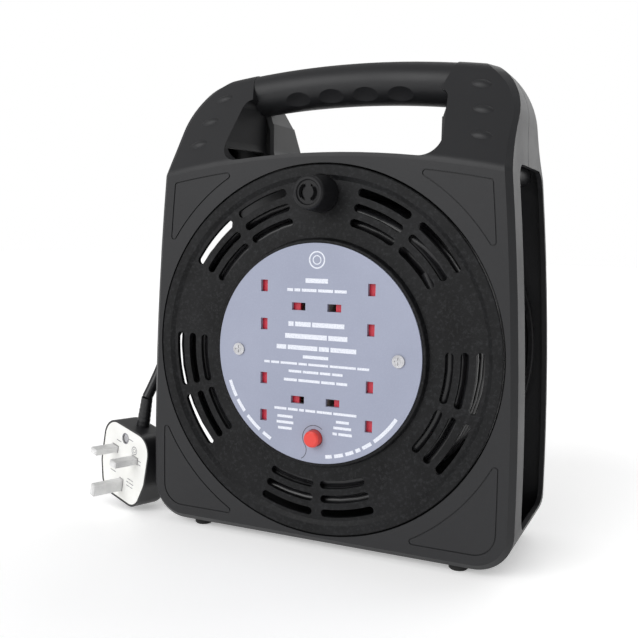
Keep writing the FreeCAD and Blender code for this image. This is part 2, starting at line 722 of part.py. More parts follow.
def add_rear_details(shell):
    """Posts with screw recesses, the spindle, bumps and moulded rings of the rear shell."""
    head = (d.screw_head + d.head_space).value
    for x, z in post_places():
        seat = seam + d.screw_seat.value
        shell = shell.fuse(along_y(head + 1.6, seat - 3, rear + 10, x, z).common(outer_form))
        shell = shell.fuse(along_y(d.post_radius.value, seam, seat - 2, x, z))
        shell = shell.cut([along_y((d.screw_radius + d.bearing_gap).value, seam - 1, seat + 1, x, z),
                           along_y(head, seat, rear + 5, x, z)])
    for bump in shoulder_bumps(True):
        shell = shell.fuse(bump.cut(inner_form))
    hub_rear = (REAR_FLANGE + d.flange_thick + d.hub_step).value
    spindle_end = (HUB_FRONT - d.end_float).value
    shell = shell.fuse(along_y(d.hub_radius.value, hub_rear + d.end_float.value, rear - wall / 2))
    shell = shell.fuse(along_y(d.spindle_radius.value, spindle_end, rear - wall / 2))
    shell = shell.cut(along_y(d.spindle_screw.value, spindle_end - 1, spindle_end + d.screw_length.value))
    rings = [along_y(radius + 1, rear - 0.8, rear + 1).cut(along_y(radius - 1, rear - 2, rear + 2))
             for radius in (d.flange_radius.value - 6, d.flange_radius.value - 12, d.hub_radius.value * 2)]
    return shell.cut(rings)


def seam_line():
    """A shallow groove round the outside where the halves meet."""
    half = d.seam_groove.value / 2
    band = Part.makeBox(400, 2 * half, 500, Vector(-200, seam - half, -100))
    return band.common(outer_form.cut(case_form(d.seam_groove.value)))


def foot_sockets():
    return [Part.makeCylinder(d.foot_stem.value, wall + 4, Vector(x, y, bottom - 1)) for x, y in foot_places()]


def case_shells():
    """The two half shells."""
    grip_end = d.grip_end_top.value + 6
    taper = (d.hole_half_front - d.hole_half_seam).value / (seam - front)
    hole_shapes = {"front": (d.hole_half_front.value + taper, d.hole_half_seam.value, d.hole_corner_front.value),
                   "rear": (d.hole_half_rear.value, d.hole_half_rear.value, d.hole_corner_rear.value)}
    depths = {"front": (front - 1, seam), "rear": (seam, rear + 1)}
    shells = []
    for name, finish in (("front", add_front_details), ("rear", add_rear_details)):
        y_from, y_to = depths[name]
        half_low, half_high, corner = hole_shapes[name]
        slab = Part.makeBox(400, y_to - y_from, 500, Vector(-200, y_from, -100))
        hole = handle_hole(half_low, half_high, y_from, y_to, corner, 0)
        grown = handle_hole(half_low, half_high, y_from - wall, y_to + wall, corner, wall)
        solid = outer_form.common(slab).cut([hole, grip_space(0)])
        grip = grip_tube(0, grip_end).cut(finger_grooves()).common(slab)
        hollow = inner_form.cut([grown, grip_space(wall)]).fuse(grip_tube(wall, grip_end + wall))
        shell = finish(solid.fuse(grip).cut([hollow, side_opening()]))
        shells.append(shell.cut([seam_line()] + foot_sockets()))
    return shells


outer_form, inner_form = case_form(0), case_form(wall)
outer_form = outer_form.makeChamfer(d.edge_chamfer.value,
                                    [edge for edge in outer_form.Edges if is_side_edge(outer_form, edge)])
front_shell, rear_shell = case_shells()
sub_part("front_shell", feature("FrontShell", front_shell))
sub_part("rear_shell", feature("RearShell", rear_shell))


def case_screws():
    screws = [screw(f"case_screw_{n}", x, SEAM + d.screw_seat, z, d.screw_head, d.head_height, d.screw_radius,
                    d.screw_length, TO_FRONT) for n, (x, z) in enumerate(
                        [(side * x, z) for side in (-1, 1)
                         for x, z in ((LOW_POST_X, AXIS - d.low_post_z), (HIGH_POST_X, AXIS + d.high_post_z),
                                      (TOP_POST_X, AXIS + d.top_post_z))])]
    return group("CaseScrews", screws)


def rubber_feet():
    feet = []
    for n, (side, y) in enumerate(((1, CASE_FRONT + d.foot_inset), (-1, CASE_FRONT + d.foot_inset),
                                   (1, CASE_REAR - d.foot_inset), (-1, CASE_REAR - d.foot_inset))):
        pad = rod(f"foot_pad_{n}", d.foot_radius, d.foot_height - d.foot_edge, z=d.foot_edge, rotation=Rotation())
        edge = doc.addObject("Part::Cone", f"foot_edge_{n}")
        bind(edge, Radius1=d.foot_radius - d.foot_edge, Radius2=d.foot_radius, Height=d.foot_edge)
        stem = rod(f"foot_stem_{n}", d.foot_stem, d.foot_height + d.wall + 1, rotation=Rotation())
        foot = fuse(f"foot_{n}", [pad, edge, stem])
        place(foot, FOOT_X * side, y, 0)
        feet.append(foot)
    return group("RubberFeet", feet)


sub_part("case_screws", case_screws())
sub_part("rubber_feet", rubber_feet())

# ---------------------------------------------------------------------------------------
# Drum


def slot_cutters():
    """Curved slots in five groups; each group is a pair either side of a rib."""
    half = d.slot_width.value / 2
    slots = []
    for middle in range(54, 414, 72):
        for side in (-1, 1):
            low, high = sorted((middle + side * d.slot_start.value, middle + side * d.slot_end.value))
            for ring in range(3):
                radius = d.slot_outer.value - ring * d.slot_pitch.value
                ends = [Vector(math.cos(math.radians(a)), 0, math.sin(math.radians(a))) for a in
                        (low, (low + high) / 2, high)]
                outer_arc = Part.Arc(*[end * (radius + half) for end in ends])
                inner_arc = Part.Arc(*[end * (radius - half) for end in ends])
                caps = []
                for end, turn in ((ends[0], -1), (ends[2], 1)):
                    beyond = Vector(-end.z, 0, end.x) * turn * half
                    caps.append(Part.Arc(end * (radius - half), end * radius + beyond, end * (radius + half)))
                outline = Part.Wire(Part.__sortEdges__([arc.toShape() for arc in
                                                        (outer_arc, inner_arc, caps[0], caps[1])]))
                face = Part.Face(outline)
                face.translate(Vector(0, FLANGE_FACE.value - 1, axis))
                slots.append(face.extrude(Vector(0, d.flange_thick.value + 3, 0)))
    return Part.makeCompound(slots)


BARREL_INSIDE = d.barrel_radius - d.barrel_wall
DRUM_POST = BARREL_INSIDE - d.drum_post_radius + 1


def drum_front():
    """Front flange, round boss and barrel in one moulding, with posts for the rear flange."""
    rim_inner = d.flange_radius - d.rim_width
    seat = PLATE_BACK - FLANGE_FACE
    boss_front = seat - d.boss_lip
    end = REAR_FLANGE - FLANGE_FACE
    seat_radius = d.plate_radius + d.plate_fit
    ledge = d.plate_radius - d.ledge_width
    moulding = turned("DrumFront", [
        (ledge, seat), (seat_radius, seat), (seat_radius, boss_front),
        (d.boss_radius - 0.4, boss_front), (d.boss_radius, boss_front + 0.4), (d.boss_radius + 1, 0.02),
        (rim_inner - 2.5, 0.02), (rim_inner, -d.rim_rise), (d.flange_radius - 0.5, -d.rim_rise),
        (d.flange_radius, 0.5 - d.rim_rise), (d.flange_radius, d.flange_thick - d.rim_rise),
        (rim_inner - 2, d.flange_thick), (d.barrel_radius, d.flange_thick), (d.barrel_radius, end),
        (BARREL_INSIDE, end), (BARREL_INSIDE, d.flange_thick), (ledge, d.flange_thick)], y=FLANGE_FACE, z=AXIS)
    posts, bores = [], []
    for n, (x, z) in enumerate(((1, 1), (1, -1), (-1, 1), (-1, -1))):
        across = DRUM_POST * math.sqrt(0.5)
        posts.append(rod(f"drum_post_{n}", d.drum_post_radius, d.drum_post_long, across * x,
                         REAR_FLANGE - d.drum_post_long, AXIS + across * z))
        bores.append(rod(f"drum_post_bore_{n}", d.drum_screw_radius, d.drum_screw_long + 1, across * x,
                         REAR_FLANGE - d.drum_screw_long, AXIS + across * z))
    outside = cut("drum_outside", rod("drum_ring", d.barrel_radius + 6, 20, 0, REAR_FLANGE - 19, AXIS),
                  [rod("drum_ring_bore", BARREL_INSIDE + 1, 22, 0, REAR_FLANGE - 20, AXIS)])
    trimmed = cut("drum_posts", fuse("drum_post_group", posts), [outside])
    lead_hole = rod("lead_hole", d.cord_radius + 0.5, 10, 0, FLANGE_BACK + d.cord_radius + 1,
                    AXIS - d.barrel_radius - 5, Rotation())
    pin_hole = rod("knob_pin_hole", d.knob_pin, 20, 0, FLANGE_FACE - 10, AXIS + d.knob_z)
    knob_space = rod("knob_space", d.knob_base + 0.5, 5, 0, FLANGE_FACE - 5, AXIS + d.knob_z)
    slots = feature("SlotCutters", slot_cutters())
    solid = fuse("drum_front_solid", [moulding, trimmed])
    return cut("DrumFrontCut", solid, bores + [slots, lead_hole, pin_hole, knob_space])


def rear_flange():
    """Rear flange and hub, which turns on the case's spindle."""
    back = d.flange_thick
    hub_front = HUB_FRONT - REAR_FLANGE
    bore = d.spindle_radius + d.bearing_gap
    disc = turned("RearFlange", [
        (bore, hub_front), (d.hub_radius, hub_front), (d.hub_radius, 0.02), (d.flange_radius - 4, 0.02),
        (d.flange_radius - 3, -1.2), (d.flange_radius - 0.6, -1.2), (d.flange_radius, -0.6),
        (d.flange_radius, back + 0.6), (d.flange_radius - 3, back + 0.6), (d.flange_radius - 4, back),
        (d.hub_radius, back), (d.hub_radius, back + d.hub_step), (bore, back + d.hub_step)],
        y=REAR_FLANGE, z=AXIS)
    bores = []
    for n, (x, z) in enumerate(((1, 1), (1, -1), (-1, 1), (-1, -1))):
        across = DRUM_POST * math.sqrt(0.5)
        bores.append(rod(f"rear_flange_bore_{n}", d.drum_screw_radius, 10, across * x, REAR_FLANGE - 3,
                         AXIS + across * z))
    return cut("RearFlangeCut", disc, bores)


def drum_screws():
    across = DRUM_POST * math.sqrt(0.5)
    return group("DrumScrews", [
        screw(f"drum_screw_{n}", across * x, REAR_FLANGE + d.flange_thick, AXIS + across * z, d.screw_head,
              d.head_height, d.drum_screw_radius, d.drum_screw_long, TO_FRONT)
        for n, (x, z) in enumerate(((1, 1), (1, -1), (-1, 1), (-1, -1)))])


def cord_winding():
    """Outer shape of the wound cord: a thick ring on the barrel."""
    thick = d.cord_radius * 2 + d.layer_rise * (d.cord_layers - 1)
    ring = turned("CordWinding", [
        (d.barrel_radius, 0.02), (d.barrel_radius + thick, 0.02), (d.barrel_radius + thick, d.drum_width - 1.3),
        (d.barrel_radius, d.drum_width - 1.3)], y=FLANGE_BACK, z=AXIS)
    pin_space = rod("winding_pin_space", d.knob_pin + 2, 3, 0, FLANGE_BACK - 1, AXIS + d.knob_z)
    return cut("CordWindingCut", ring, [pin_space])


sub_part("drum_front", drum_front())
sub_part("rear_flange", rear_flange())
sub_part("drum_screws", drum_screws())
sub_part("cord_winding", cord_winding())
sub_part("spindle_washer", turned("SpindleWasher", [
    (d.spindle_screw, 0), (d.hub_radius - 1, 0), (d.hub_radius - 1, d.washer_thick),
    (d.spindle_screw, d.washer_thick)], y=HUB_FRONT - d.end_float - d.washer_thick, z=AXIS))
sub_part("spindle_screw", screw("SpindleScrew", 0, HUB_FRONT - d.end_float - d.washer_thick, AXIS,
                                d.spindle_screw * 2, d.head_height, d.spindle_screw, d.screw_length, TO_BACK))

# ---------------------------------------------------------------------------------------
# Sockets


def aperture_places():
    """Middle, width and height of all twelve apertures, from the drum's axis."""
    places = []
    for _, x, z in CORNERS:
        places.append((d.earth_x * x, d.row_z * z, d.earth_long, d.slit))
        places.append((LINE_X * x, d.row_z * z + d.pin_pitch / 2, d.slit, d.line_long))
        places.append((LINE_X * x, d.row_z * z - d.pin_pitch / 2, d.slit, d.line_long))
    return places


def socket_plate():
    body = pad_body("SocketPlate", lambda sketch: draw_circle(sketch, 0, 0, d.plate_radius), d.plate_thick)

    def apertures(sketch):
        for x, z, wide, tall in aperture_places():
            draw_box(sketch, x, z, wide, tall)

    def round_holes(sketch):
        draw_circle(sketch, 0, -d.button_z, d.button_radius + d.button_gap)
        for side in (-1, 1):
            draw_circle(sketch, d.plate_screw_x * side, 0, d.plate_screw_radius)

    pocket_through(body, "Apertures", apertures)
    pocket_through(body, "RoundHoles", round_holes)
    place(body, 0, PLATE_FACE, AXIS)
    return body


def plate_screws():
    return group("PlateScrews", [
        screw(f"plate_screw_{n}", d.plate_screw_x * side, PLATE_FACE, AXIS, d.screw_head, 0.8,
              d.plate_screw_radius, d.plate_screw_long, TO_BACK) for n, side in enumerate((-1, 1))])


def shutter_bar(side_x):
    """Low and high X of a shutter's bar at rest."""
    half = d.slit / 2 + d.shutter_cover
    return LINE_X * side_x - half, LINE_X * side_x + half


def shutter(name, side_x, side_z):
    """A bar over the live and neutral apertures and an arm that reaches the earth aperture."""
    row = AXIS + d.row_z * side_z
    low, high = shutter_bar(side_x)
    depth = (SHUTTER_FRONT, SHUTTER_BACK)
    half_tall = (d.pin_pitch + d.line_long) / 2 + d.shutter_cover
    bar = block(name + "_bar", (low, high), depth, (row - half_tall, row + half_tall))
    tip = d.earth_x * side_x
    inner = low if side_x > 0 else high
    reach = (tip, inner + 1) if side_x > 0 else (inner - 1, tip)
    arm = block(name + "_arm", reach, depth, (row - d.arm_half, row + d.arm_half))
    outer = (high - 2, high) if side_x > 0 else (low, low + 2)
    seat = block(name + "_seat", outer, (SHUTTER_FRONT, SHUTTER_BACK + 2 * d.shutter_spring),
                 (row - d.arm_half, row + d.arm_half))
    return fuse(name, [bar, arm, seat])


def shutter_spring(name, side_x, side_z):
    """A coil between the shutter's bar and the end of its channel."""
    low, high = shutter_bar(side_x)
    start = (high if side_x > 0 else low).value
    middle = SHUTTER_BACK.value
    radius = d.shutter_spring.value
    shape = spring_shape((start, middle + 0.4, (AXIS + d.row_z * side_z).value), (side_x, 0, 0),
                         d.spring_space.value, radius - 0.25, 0.25, 7)
    ends = Part.makeBox(d.spring_space.value - 0.2, 20, 20,
                        Vector(min(start, start + side_x * d.spring_space.value) + 0.1, middle - 10,
                               (AXIS + d.row_z * side_z).value - 10))
    return feature(name, shape.common(ends))


def socket_base():
    """The insulating block behind the plate, with shutter channels and pin wells."""
    block_body = rod("base_disc", d.base_radius, d.base_depth, 0, PLATE_BACK, AXIS)
    tools = []
    gap = d.shutter_gap
    for name, x, z in CORNERS:
        row = AXIS + d.row_z * z
        low, high = shutter_bar(x)
        half_tall = (d.pin_pitch + d.line_long) / 2 + d.shutter_cover + gap
        travel = d.shutter_travel + gap
        span = (low - gap, high + travel) if x > 0 else (low - travel, high + gap)
        depth = (PLATE_BACK - 1, SHUTTER_BACK + gap)
        tools.append(block(f"channel_{name}", span, depth, (row - half_tall, row + half_tall)))
        tip = d.earth_x * x
        reach = (tip - gap - d.earth_long / 2, high) if x > 0 else (low, tip + gap + d.earth_long / 2)
        arm = (row - d.arm_half - gap, row + d.arm_half + gap)
        tools.append(block(f"arm_channel_{name}", reach, depth, arm))
        spring = (high - 2 - gap, high + d.spring_space) if x > 0 else (low - d.spring_space, low + 2 + gap)
        tools.append(block(f"spring_channel_{name}", spring,
                           (PLATE_BACK - 1, SHUTTER_BACK + 2 * d.shutter_spring + gap), arm))
    for n, (x, z, wide, tall) in enumerate(aperture_places()):
        grow = d.well_gap * 2
        tools.append(block(f"well_{n}", about(x, wide + grow), (PLATE_BACK - 1, BASE_BACK + 1),
                           about(AXIS + z, tall + grow)))
    tools.append(rod("button_well", d.collar_radius + d.button_gap, CUTOUT_FRONT - PLATE_BACK + 1, 0,
                     PLATE_BACK - 1, AXIS - d.button_z))
    tools.append(block("cutout_well", about(0, d.cutout_size + 0.4), (CUTOUT_FRONT, BASE_BACK + 1),
                       about(AXIS - d.button_z, d.cutout_size + 0.4)))
    for n, side in enumerate((-1, 1)):
        tools.append(rod(f"base_screw_hole_{n}", d.plate_screw_radius, d.plate_screw_long, d.plate_screw_x * side,
                         PLATE_FACE, AXIS))
    return cut("SocketBase", block_body, tools)


def clip(name, x, z, wide_in_x, level):
    """Two leaves that grip a pin, standing on a bar."""
    leaf, half_gap, half_wide = 0.8, d.pin_thick / 2 - 0.1, 2.6
    depth = (PLATE_BACK + d.clip_start, level + 0.2)
    leaves = []
    for n, side in enumerate((-1, 1)):
        near, far = half_gap * side, (half_gap + leaf) * side
        thick = (near, far) if side > 0 else (far, near)
        across = (-half_wide, half_wide)
        box_x, box_z = (across, thick) if wide_in_x else (thick, across)
        leaves.append(block(f"{name}_leaf_{n}", (x + box_x[0], x + box_x[1]), depth,
                            (AXIS + z + box_z[0], AXIS + z + box_z[1])))
    return leaves


def bus_bar(name, clips, wide_in_x, level, rail_x, cross_z):
    """Clips on two upright rails, joined by a cross bar, all at one level behind the base."""
    depth = (level, level + d.bar_thick)
    half = d.bar_width / 2
    pieces = []
    for n, (x, z) in enumerate(clips):
        pieces += clip(f"{name}_clip_{n}", x, z, wide_in_x, level)
        rail = rail_x * (1 if number(x) > 0 else -1)
        left, right = (rail, x) if number(x) > number(rail) else (x, rail)
        pieces.append(block(f"{name}_tab_{n}", (left - half, right + half), depth,
                            (AXIS + z - half, AXIS + z + half)))
    for side in (-1, 1):
        heights = [z for x, z in clips if number(x) * side > 0] + [cross_z]
        low, high = min(heights, key=number), max(heights, key=number)
        pieces.append(block(f"{name}_rail_{side + 1}", about(rail_x * side, d.bar_width), depth,
                            (AXIS + low - half, AXIS + high + half)))
    pieces.append(block(f"{name}_cross", (-rail_x, rail_x), depth, (AXIS + cross_z - half, AXIS + cross_z + half)))
    return fuse(name, pieces)


def line_places(right_top):
    """Clips of one pole: the upper clip of each right socket, or the lower one."""
    shift = d.pin_pitch / 2 * (1 if right_top else -1)
    return [(LINE_X, d.row_z + shift), (LINE_X, shift - d.row_z),
            (-LINE_X, d.row_z - shift), (-LINE_X, -d.row_z - shift)]


CUTOUT_FRONT = PLATE_BACK + d.cutout_start

sub_part("socket_plate", socket_plate())
sub_part("plate_screws", plate_screws())
sub_part("socket_base", socket_base())
for corner, side_x, side_z in CORNERS:
    sub_part(f"shutter_{corner}", shutter(f"Shutter_{corner}", side_x, side_z))
    sub_part(f"shutter_spring_{corner}", shutter_spring(f"ShutterSpring_{corner}", side_x, side_z))
sub_part("live_bar", bus_bar("LiveBar", line_places(True), False, BASE_BACK + 1, LINE_X + 6.7, -4))
sub_part("neutral_bar", bus_bar("NeutralBar", line_places(False), False, BASE_BACK + 1 + d.bar_pitch,
                                LINE_X - 6.7, 4))
sub_part("earth_bar", bus_bar("EarthBar", [(d.earth_x * x, d.row_z * z) for _, x, z in CORNERS], True,
                              BASE_BACK + 1 + d.bar_pitch * 2, d.earth_x, 0))


def reset_button():
    """A domed cap, a collar that the plate keeps in, and a stem into the cut-out."""
    cap = d.button_radius
    collar = PLATE_BACK - PLATE_FACE + 0.3
    return turned("ResetButton", [
        (0, -d.button_proud), (cap - 1.2, -d.button_proud), (cap - 0.3, 0.6 - d.button_proud),
        (cap, 1.6 - d.button_proud), (cap, collar), (d.collar_radius, collar), (d.collar_radius, collar + 1),
        (d.stem_radius, collar + 1), (d.stem_radius, CUTOUT_FRONT - PLATE_FACE + 2),
        (0, CUTOUT_FRONT - PLATE_FACE + 2)], y=PLATE_FACE, z=AXIS - d.button_z)


def thermal_cutout():
    """A square switch body with a blind hole for the stem and two blades at the back."""
    size = d.cutout_size
    case = block("cutout_case", about(0, size), (CUTOUT_FRONT + 0.2, CUTOUT_FRONT + d.cutout_depth),
                 about(AXIS - d.button_z, size))
    blades = [block(f"cutout_blade_{n}", about(d.cutout_size / 4 * side, 1), (CUTOUT_FRONT + d.cutout_depth - 1,
                    CUTOUT_FRONT + d.cutout_depth + 8), about(AXIS - d.button_z, 6))
              for n, side in enumerate((-1, 1))]
    hole = rod("cutout_hole", d.stem_radius + 0.4, d.button_travel + 4, 0, CUTOUT_FRONT - 1, AXIS - d.button_z)
    return cut("ThermalCutout", fuse("cutout_solid", [case] + blades), [hole])


def button_spring():
    start = (PLATE_BACK + 1.3).value
    length = (CUTOUT_FRONT + 0.2).value - start
    shape = spring_shape((0, start, (AXIS - d.button_z).value), (0, 1, 0), length, d.stem_radius.value + 1.2,
                         0.35, 5)
    room = along_y(12, start + 0.1, start + length - 0.1, 0, (AXIS - d.button_z).value)
    return feature("ButtonSpring", shape.common(room))


sub_part("reset_button", reset_button())
sub_part("thermal_cutout", thermal_cutout())
sub_part("button_spring", button_spring())

# ---------------------------------------------------------------------------------------
# Knob


def winding_knob():
    """A round knob with a blind bore that swells over the pin's head, and two curved slots."""
    front_y = CASE_FRONT - d.knob_reach - FLANGE_FACE
    bore = d.knob_pin + d.bearing_gap
    head = d.knob_pin + d.pin_head + 0.3
    base = -d.knob_seat
    body = turned("WindingKnob", [
        (bore, base), (d.knob_base - 0.6, base), (d.knob_base, base - 0.6), (d.knob_base - 0.1, base - 3),
        (d.knob_front, front_y + 1.4), (d.knob_front - 0.4, front_y + 0.5), (d.knob_front - 1.2, front_y),
        (d.knob_front - 2.4, front_y), (d.knob_front - 3.0, front_y + 0.9), (0, front_y + 0.9),
        (0, front_y + 3.5), (head, front_y + 3.5), (head, front_y + 3.5 + d.pin_head_long + 0.6),
        (bore, front_y + 3.5 + d.pin_head_long + 0.6)], y=FLANGE_FACE, z=AXIS + d.knob_z)
    rings = []
    for n, side in enumerate((-1, 1)):
        ring = cut(f"knob_slot_{n}", rod(f"knob_slot_outer_{n}", d.knob_slot + 0.6, 1.3, 0, 0, 0),
                   [rod(f"knob_slot_inner_{n}", d.knob_slot - 0.6, 2, 0, -0.5, 0)])
        half = block(f"knob_slot_half_{n}", (1.6, 8) if side > 0 else (-8, -1.6), (-1, 3), (-8, 8))
        piece = doc.addObject("Part::Common", f"knob_slot_piece_{n}")
        piece.Base, piece.Tool = ring, half
        place(piece, 0, FLANGE_FACE + front_y + 0.8, AXIS + d.knob_z)
        rings.append(piece)
    return cut("WindingKnobCut", body, rings)


def knob_pin():
    """A headed pin held in the flange."""
    front_y = CASE_FRONT - d.knob_reach - FLANGE_FACE
    head = front_y + 3.8
    neck = head + d.pin_head_long
    return turned("KnobPin", [
        (0, head), (d.knob_pin + d.pin_head, head), (d.knob_pin + d.pin_head, neck), (d.knob_pin, neck),
        (d.knob_pin, d.flange_thick), (d.knob_pin + 1.5, d.flange_thick), (d.knob_pin + 1.5, d.flange_thick + 1),
        (0, d.flange_thick + 1)], y=FLANGE_FACE, z=AXIS + d.knob_z)


sub_part("winding_knob", winding_knob())
sub_part("knob_pin", knob_pin())

# ---------------------------------------------------------------------------------------
# Plug, built upright with its pins towards -Y and then laid against the floor

PLUG_POSE = Placement(Vector(-148.5, -26.5, 26.2), Rotation(-17.5, 11.4, -1.8))


def plug_outline(inset):
    """A rounded outline, narrower at the earth end, in the plane Y = 0."""
    half = d.plug_width.value / 2 - inset
    top, low = d.plug_top.value - inset, -d.plug_bottom.value + inset
    narrow = half - 6
    corners = wire([(-half, 0, -2), (-half, 0, top), (half, 0, top), (half, 0, -2), (narrow, 0, low),
                    (-narrow, 0, low), (-half, 0, -2)])
    solid = Part.Face(corners).extrude(Vector(0, 10, 0))

    def corner_edges(shape, low_z, high_z):
        return [edge for edge in shape.Edges if abs(edge.Vertexes[0].Point.y - edge.Vertexes[-1].Point.y) > 1
                and low_z < edge.CenterOfMass.z < high_z]

    solid = solid.makeFillet(13 - inset, corner_edges(solid, top - 1, top + 1))
    solid = solid.makeFillet(11 - inset, corner_edges(solid, low - 1, low + 1))
    solid = solid.makeFillet(14 - inset, corner_edges(solid, -4, 0))
    face = min(solid.Faces, key=lambda item: item.CenterOfMass.y)
    return face


def plug_slab(inset, y_low, y_high):
    face = plug_outline(inset)
    face.translate(Vector(0, y_low, 0))
    return face.extrude(Vector(0, y_high - y_low, 0))


def in_pose(label, name, shape):
    thing = sub_part(label, feature(name, shape))
    thing.Placement = PLUG_POSE
    return thing


def pin_box(wide, tall, y_low, y_high, x, z):
    return Part.makeBox(wide, y_high - y_low, tall, Vector(x - wide / 2, y_low, z - tall / 2))


def pin_shape(wide, tall, length, x, z):
    """A rectangular pin with a chamfered tip and a foot inside the plug."""
    pin = pin_box(wide, tall, -length, PIN_FOOT, x, z)
    tip = [edge for edge in pin.Edges if edge.BoundBox.YMax < -length + 0.01]
    return pin.makeChamfer(0.9, tip).fuse(pin_box(wide + 2, tall + 2, PIN_FOOT, PIN_FOOT + 5, x, z))


PIN_FOOT = 3.5
half_pitch = d.pin_pitch.value / 2
pin_thick, line_wide = d.pin_thick.value, d.line_pin_wide.value
PLUG_PINS = {
    "live": pin_shape(line_wide, pin_thick, d.line_pin_long.value, half_pitch, half_pitch),
    "neutral": pin_shape(line_wide, pin_thick, d.line_pin_long.value, -half_pitch, half_pitch),
    "earth": pin_shape(pin_thick, d.earth_pin_wide.value, d.earth_pin_long.value, 0, -half_pitch),
}
PLUG_SCREW = Vector(-1.5, 0, 21.5)
CORD_ENTRY = (0, 12.0, d.plug_top.value)


def plug_base():
    """The flat half that holds the pins, with a shallow recess for its card."""
    card, floor = d.card_recess.value, 3.0
    base = plug_slab(0, 0, d.plug_split.value).cut(plug_slab(1.2, -1, card))
    base = base.cut(plug_slab(d.plug_wall.value, floor + 0.5, d.plug_split.value + 1))
    for name, (x, z) in {"live": (half_pitch, half_pitch), "neutral": (-half_pitch, half_pitch)}.items():
        base = base.cut(pin_box(line_wide, pin_thick, -1, 10, x, z))
    base = base.cut(pin_box(pin_thick, d.earth_pin_wide.value, -1, 10, 0, -half_pitch))
    base = base.cut(Part.makeCylinder(1.6, 10, PLUG_SCREW - Vector(0, 1, 0), Vector(0, 1, 0)))
    return base.cut(Part.makeCylinder(2.9, 2.25, PLUG_SCREW - Vector(0, 1, 0), Vector(0, 1, 0)))


def plug_card():
    """A thin card on the pin face, with holes for the pins and the screw."""
    card = plug_slab(1.4, 0.1, d.card_recess.value)
    card = card.cut(pin_box(line_wide + 1, pin_thick + 1, -1, 5, half_pitch, half_pitch))
    card = card.cut(pin_box(line_wide + 1, pin_thick + 1, -1, 5, -half_pitch, half_pitch))
    card = card.cut(pin_box(pin_thick + 1, d.earth_pin_wide.value + 1, -1, 5, 0, -half_pitch))
    return card.cut(Part.makeCylinder(3.2, 5, PLUG_SCREW - Vector(0, 1, 0), Vector(0, 1, 0)))


def plug_cover():
    """The hollow back half, rounded at the back, with a hole for the cord."""
    split, depth, skin = d.plug_split.value, d.plug_depth.value, d.plug_wall.value
    cover = plug_slab(0, split, depth)
    back = [edge for edge in cover.Edges if edge.BoundBox.YMin > depth - 0.01]
    cover = cover.makeFillet(6, back)
    hollow = plug_slab(skin, split - 1, depth - skin)
    hollow_back = [edge for edge in hollow.Edges if edge.BoundBox.YMin > depth - skin - 0.01]
    cover = cover.cut(hollow.makeFillet(3.5, hollow_back))
    entry = Part.makeCylinder(d.guard_radius.value - 1, 10, Vector(CORD_ENTRY[0], CORD_ENTRY[1], CORD_ENTRY[2] - 8))
    post = Part.makeCylinder(3.4, depth - split - 2, Vector(PLUG_SCREW.x, split, PLUG_SCREW.z), Vector(0, 1, 0))
    bore = Part.makeCylinder(1.6, depth - split - 6, Vector(PLUG_SCREW.x, split - 1, PLUG_SCREW.z), Vector(0, 1, 0))
    return cover.fuse(post.cut(entry)).cut([bore, entry])


def cord_guard():
    """A tapered sleeve round the cord where it enters the plug."""
    x, y, z = CORD_ENTRY
    neck, end = d.guard_radius.value - 1.02, d.cord_radius.value + 0.6
    sleeve = Part.makeCone(d.guard_radius.value, end, d.guard_length.value, Vector(x, y, z))
    sleeve = sleeve.fuse(Part.makeCylinder(neck, 5, Vector(x, y, z - 5)))
    return sleeve


in_pose("plug_base", "PlugBase", plug_base())
in_pose("plug_card", "PlugCard", plug_card())
in_pose("plug_cover", "PlugCover", plug_cover())
in_pose("plug_cord_guard", "PlugCordGuard", cord_guard())
for pole, shape in PLUG_PINS.items():
    in_pose(f"plug_pin_{pole}", f"PlugPin_{pole}", shape)
in_pose("plug_fuse", "PlugFuse", Part.makeCylinder(3.15, 25.4, Vector(15, 14, -12)))
in_pose("plug_screw", "PlugScrew", Part.makeCylinder(1.58, 14, PLUG_SCREW + Vector(0, 0.7, 0), Vector(0, 1, 0)).fuse(
    Part.makeCylinder(2.8, 0.6, PLUG_SCREW + Vector(0, 0.62, 0), Vector(0, 1, 0))))

# ---------------------------------------------------------------------------------------
# Cord between the drum and the plug. The end at the plug starts at the guard's end.

GUARD_END = PLUG_POSE.multVec(Vector(CORD_ENTRY[0], CORD_ENTRY[1], CORD_ENTRY[2] + d.guard_length.value))
CORD_ROUTE = [GUARD_END, Vector(-129.5, -9.5, 92.0), Vector(-124.0, -4.5, 113.0), Vector(-111.5, 0.5, 133.5),
              Vector(-97.0, 3.5, 155.5), Vector(-79.5, 5.0, 177.5), Vector(-59.5, 6.0, 196.0)]


def rounded_path(points):
    """Straight runs joined by tangent arcs, each as large as its two runs allow."""
    edges, radii, last = [], [], points[0]
    for before, point, after in zip(points, points[1:], points[2:]):
        back, ahead = (before - point), (after - point)
        shorter = min(back.Length, ahead.Length)
        back.normalize()
        ahead.normalize()
        turn = math.pi - back.getAngle(ahead)
        radius = 0.45 * shorter / math.tan(turn / 2)
        trim = 0.45 * shorter
        start, end = point + back * trim, point + ahead * trim
        centre = point + (back + ahead).normalize() * (radius / math.cos(turn / 2))
        middle = centre + (point - centre).normalize() * radius
        edges.append(Part.LineSegment(last, start).toShape())
        edges.append(Part.Arc(start, middle, end).toShape())
        radii.append(radius)
        last = end
    edges.append(Part.LineSegment(last, points[-1]).toShape())
    return Part.Wire(edges), radii


def cord_tail():
    path, radii = rounded_path(CORD_ROUTE)
    start = (CORD_ROUTE[1] - CORD_ROUTE[0]).normalize()
    section = Part.Wire(Part.makeCircle(d.cord_radius.value, CORD_ROUTE[0], start))
    tube = path.makePipeShell([section], True, True)
    area = math.pi * d.cord_radius.value ** 2
    print("cord radii", [round(radius, 1) for radius in radii], "length", round(path.Length, 1),
          "volume ratio", round(tube.Volume / (area * path.Length), 4))
    return tube


sub_part("cord_tail", feature("CordTail", cord_tail()))

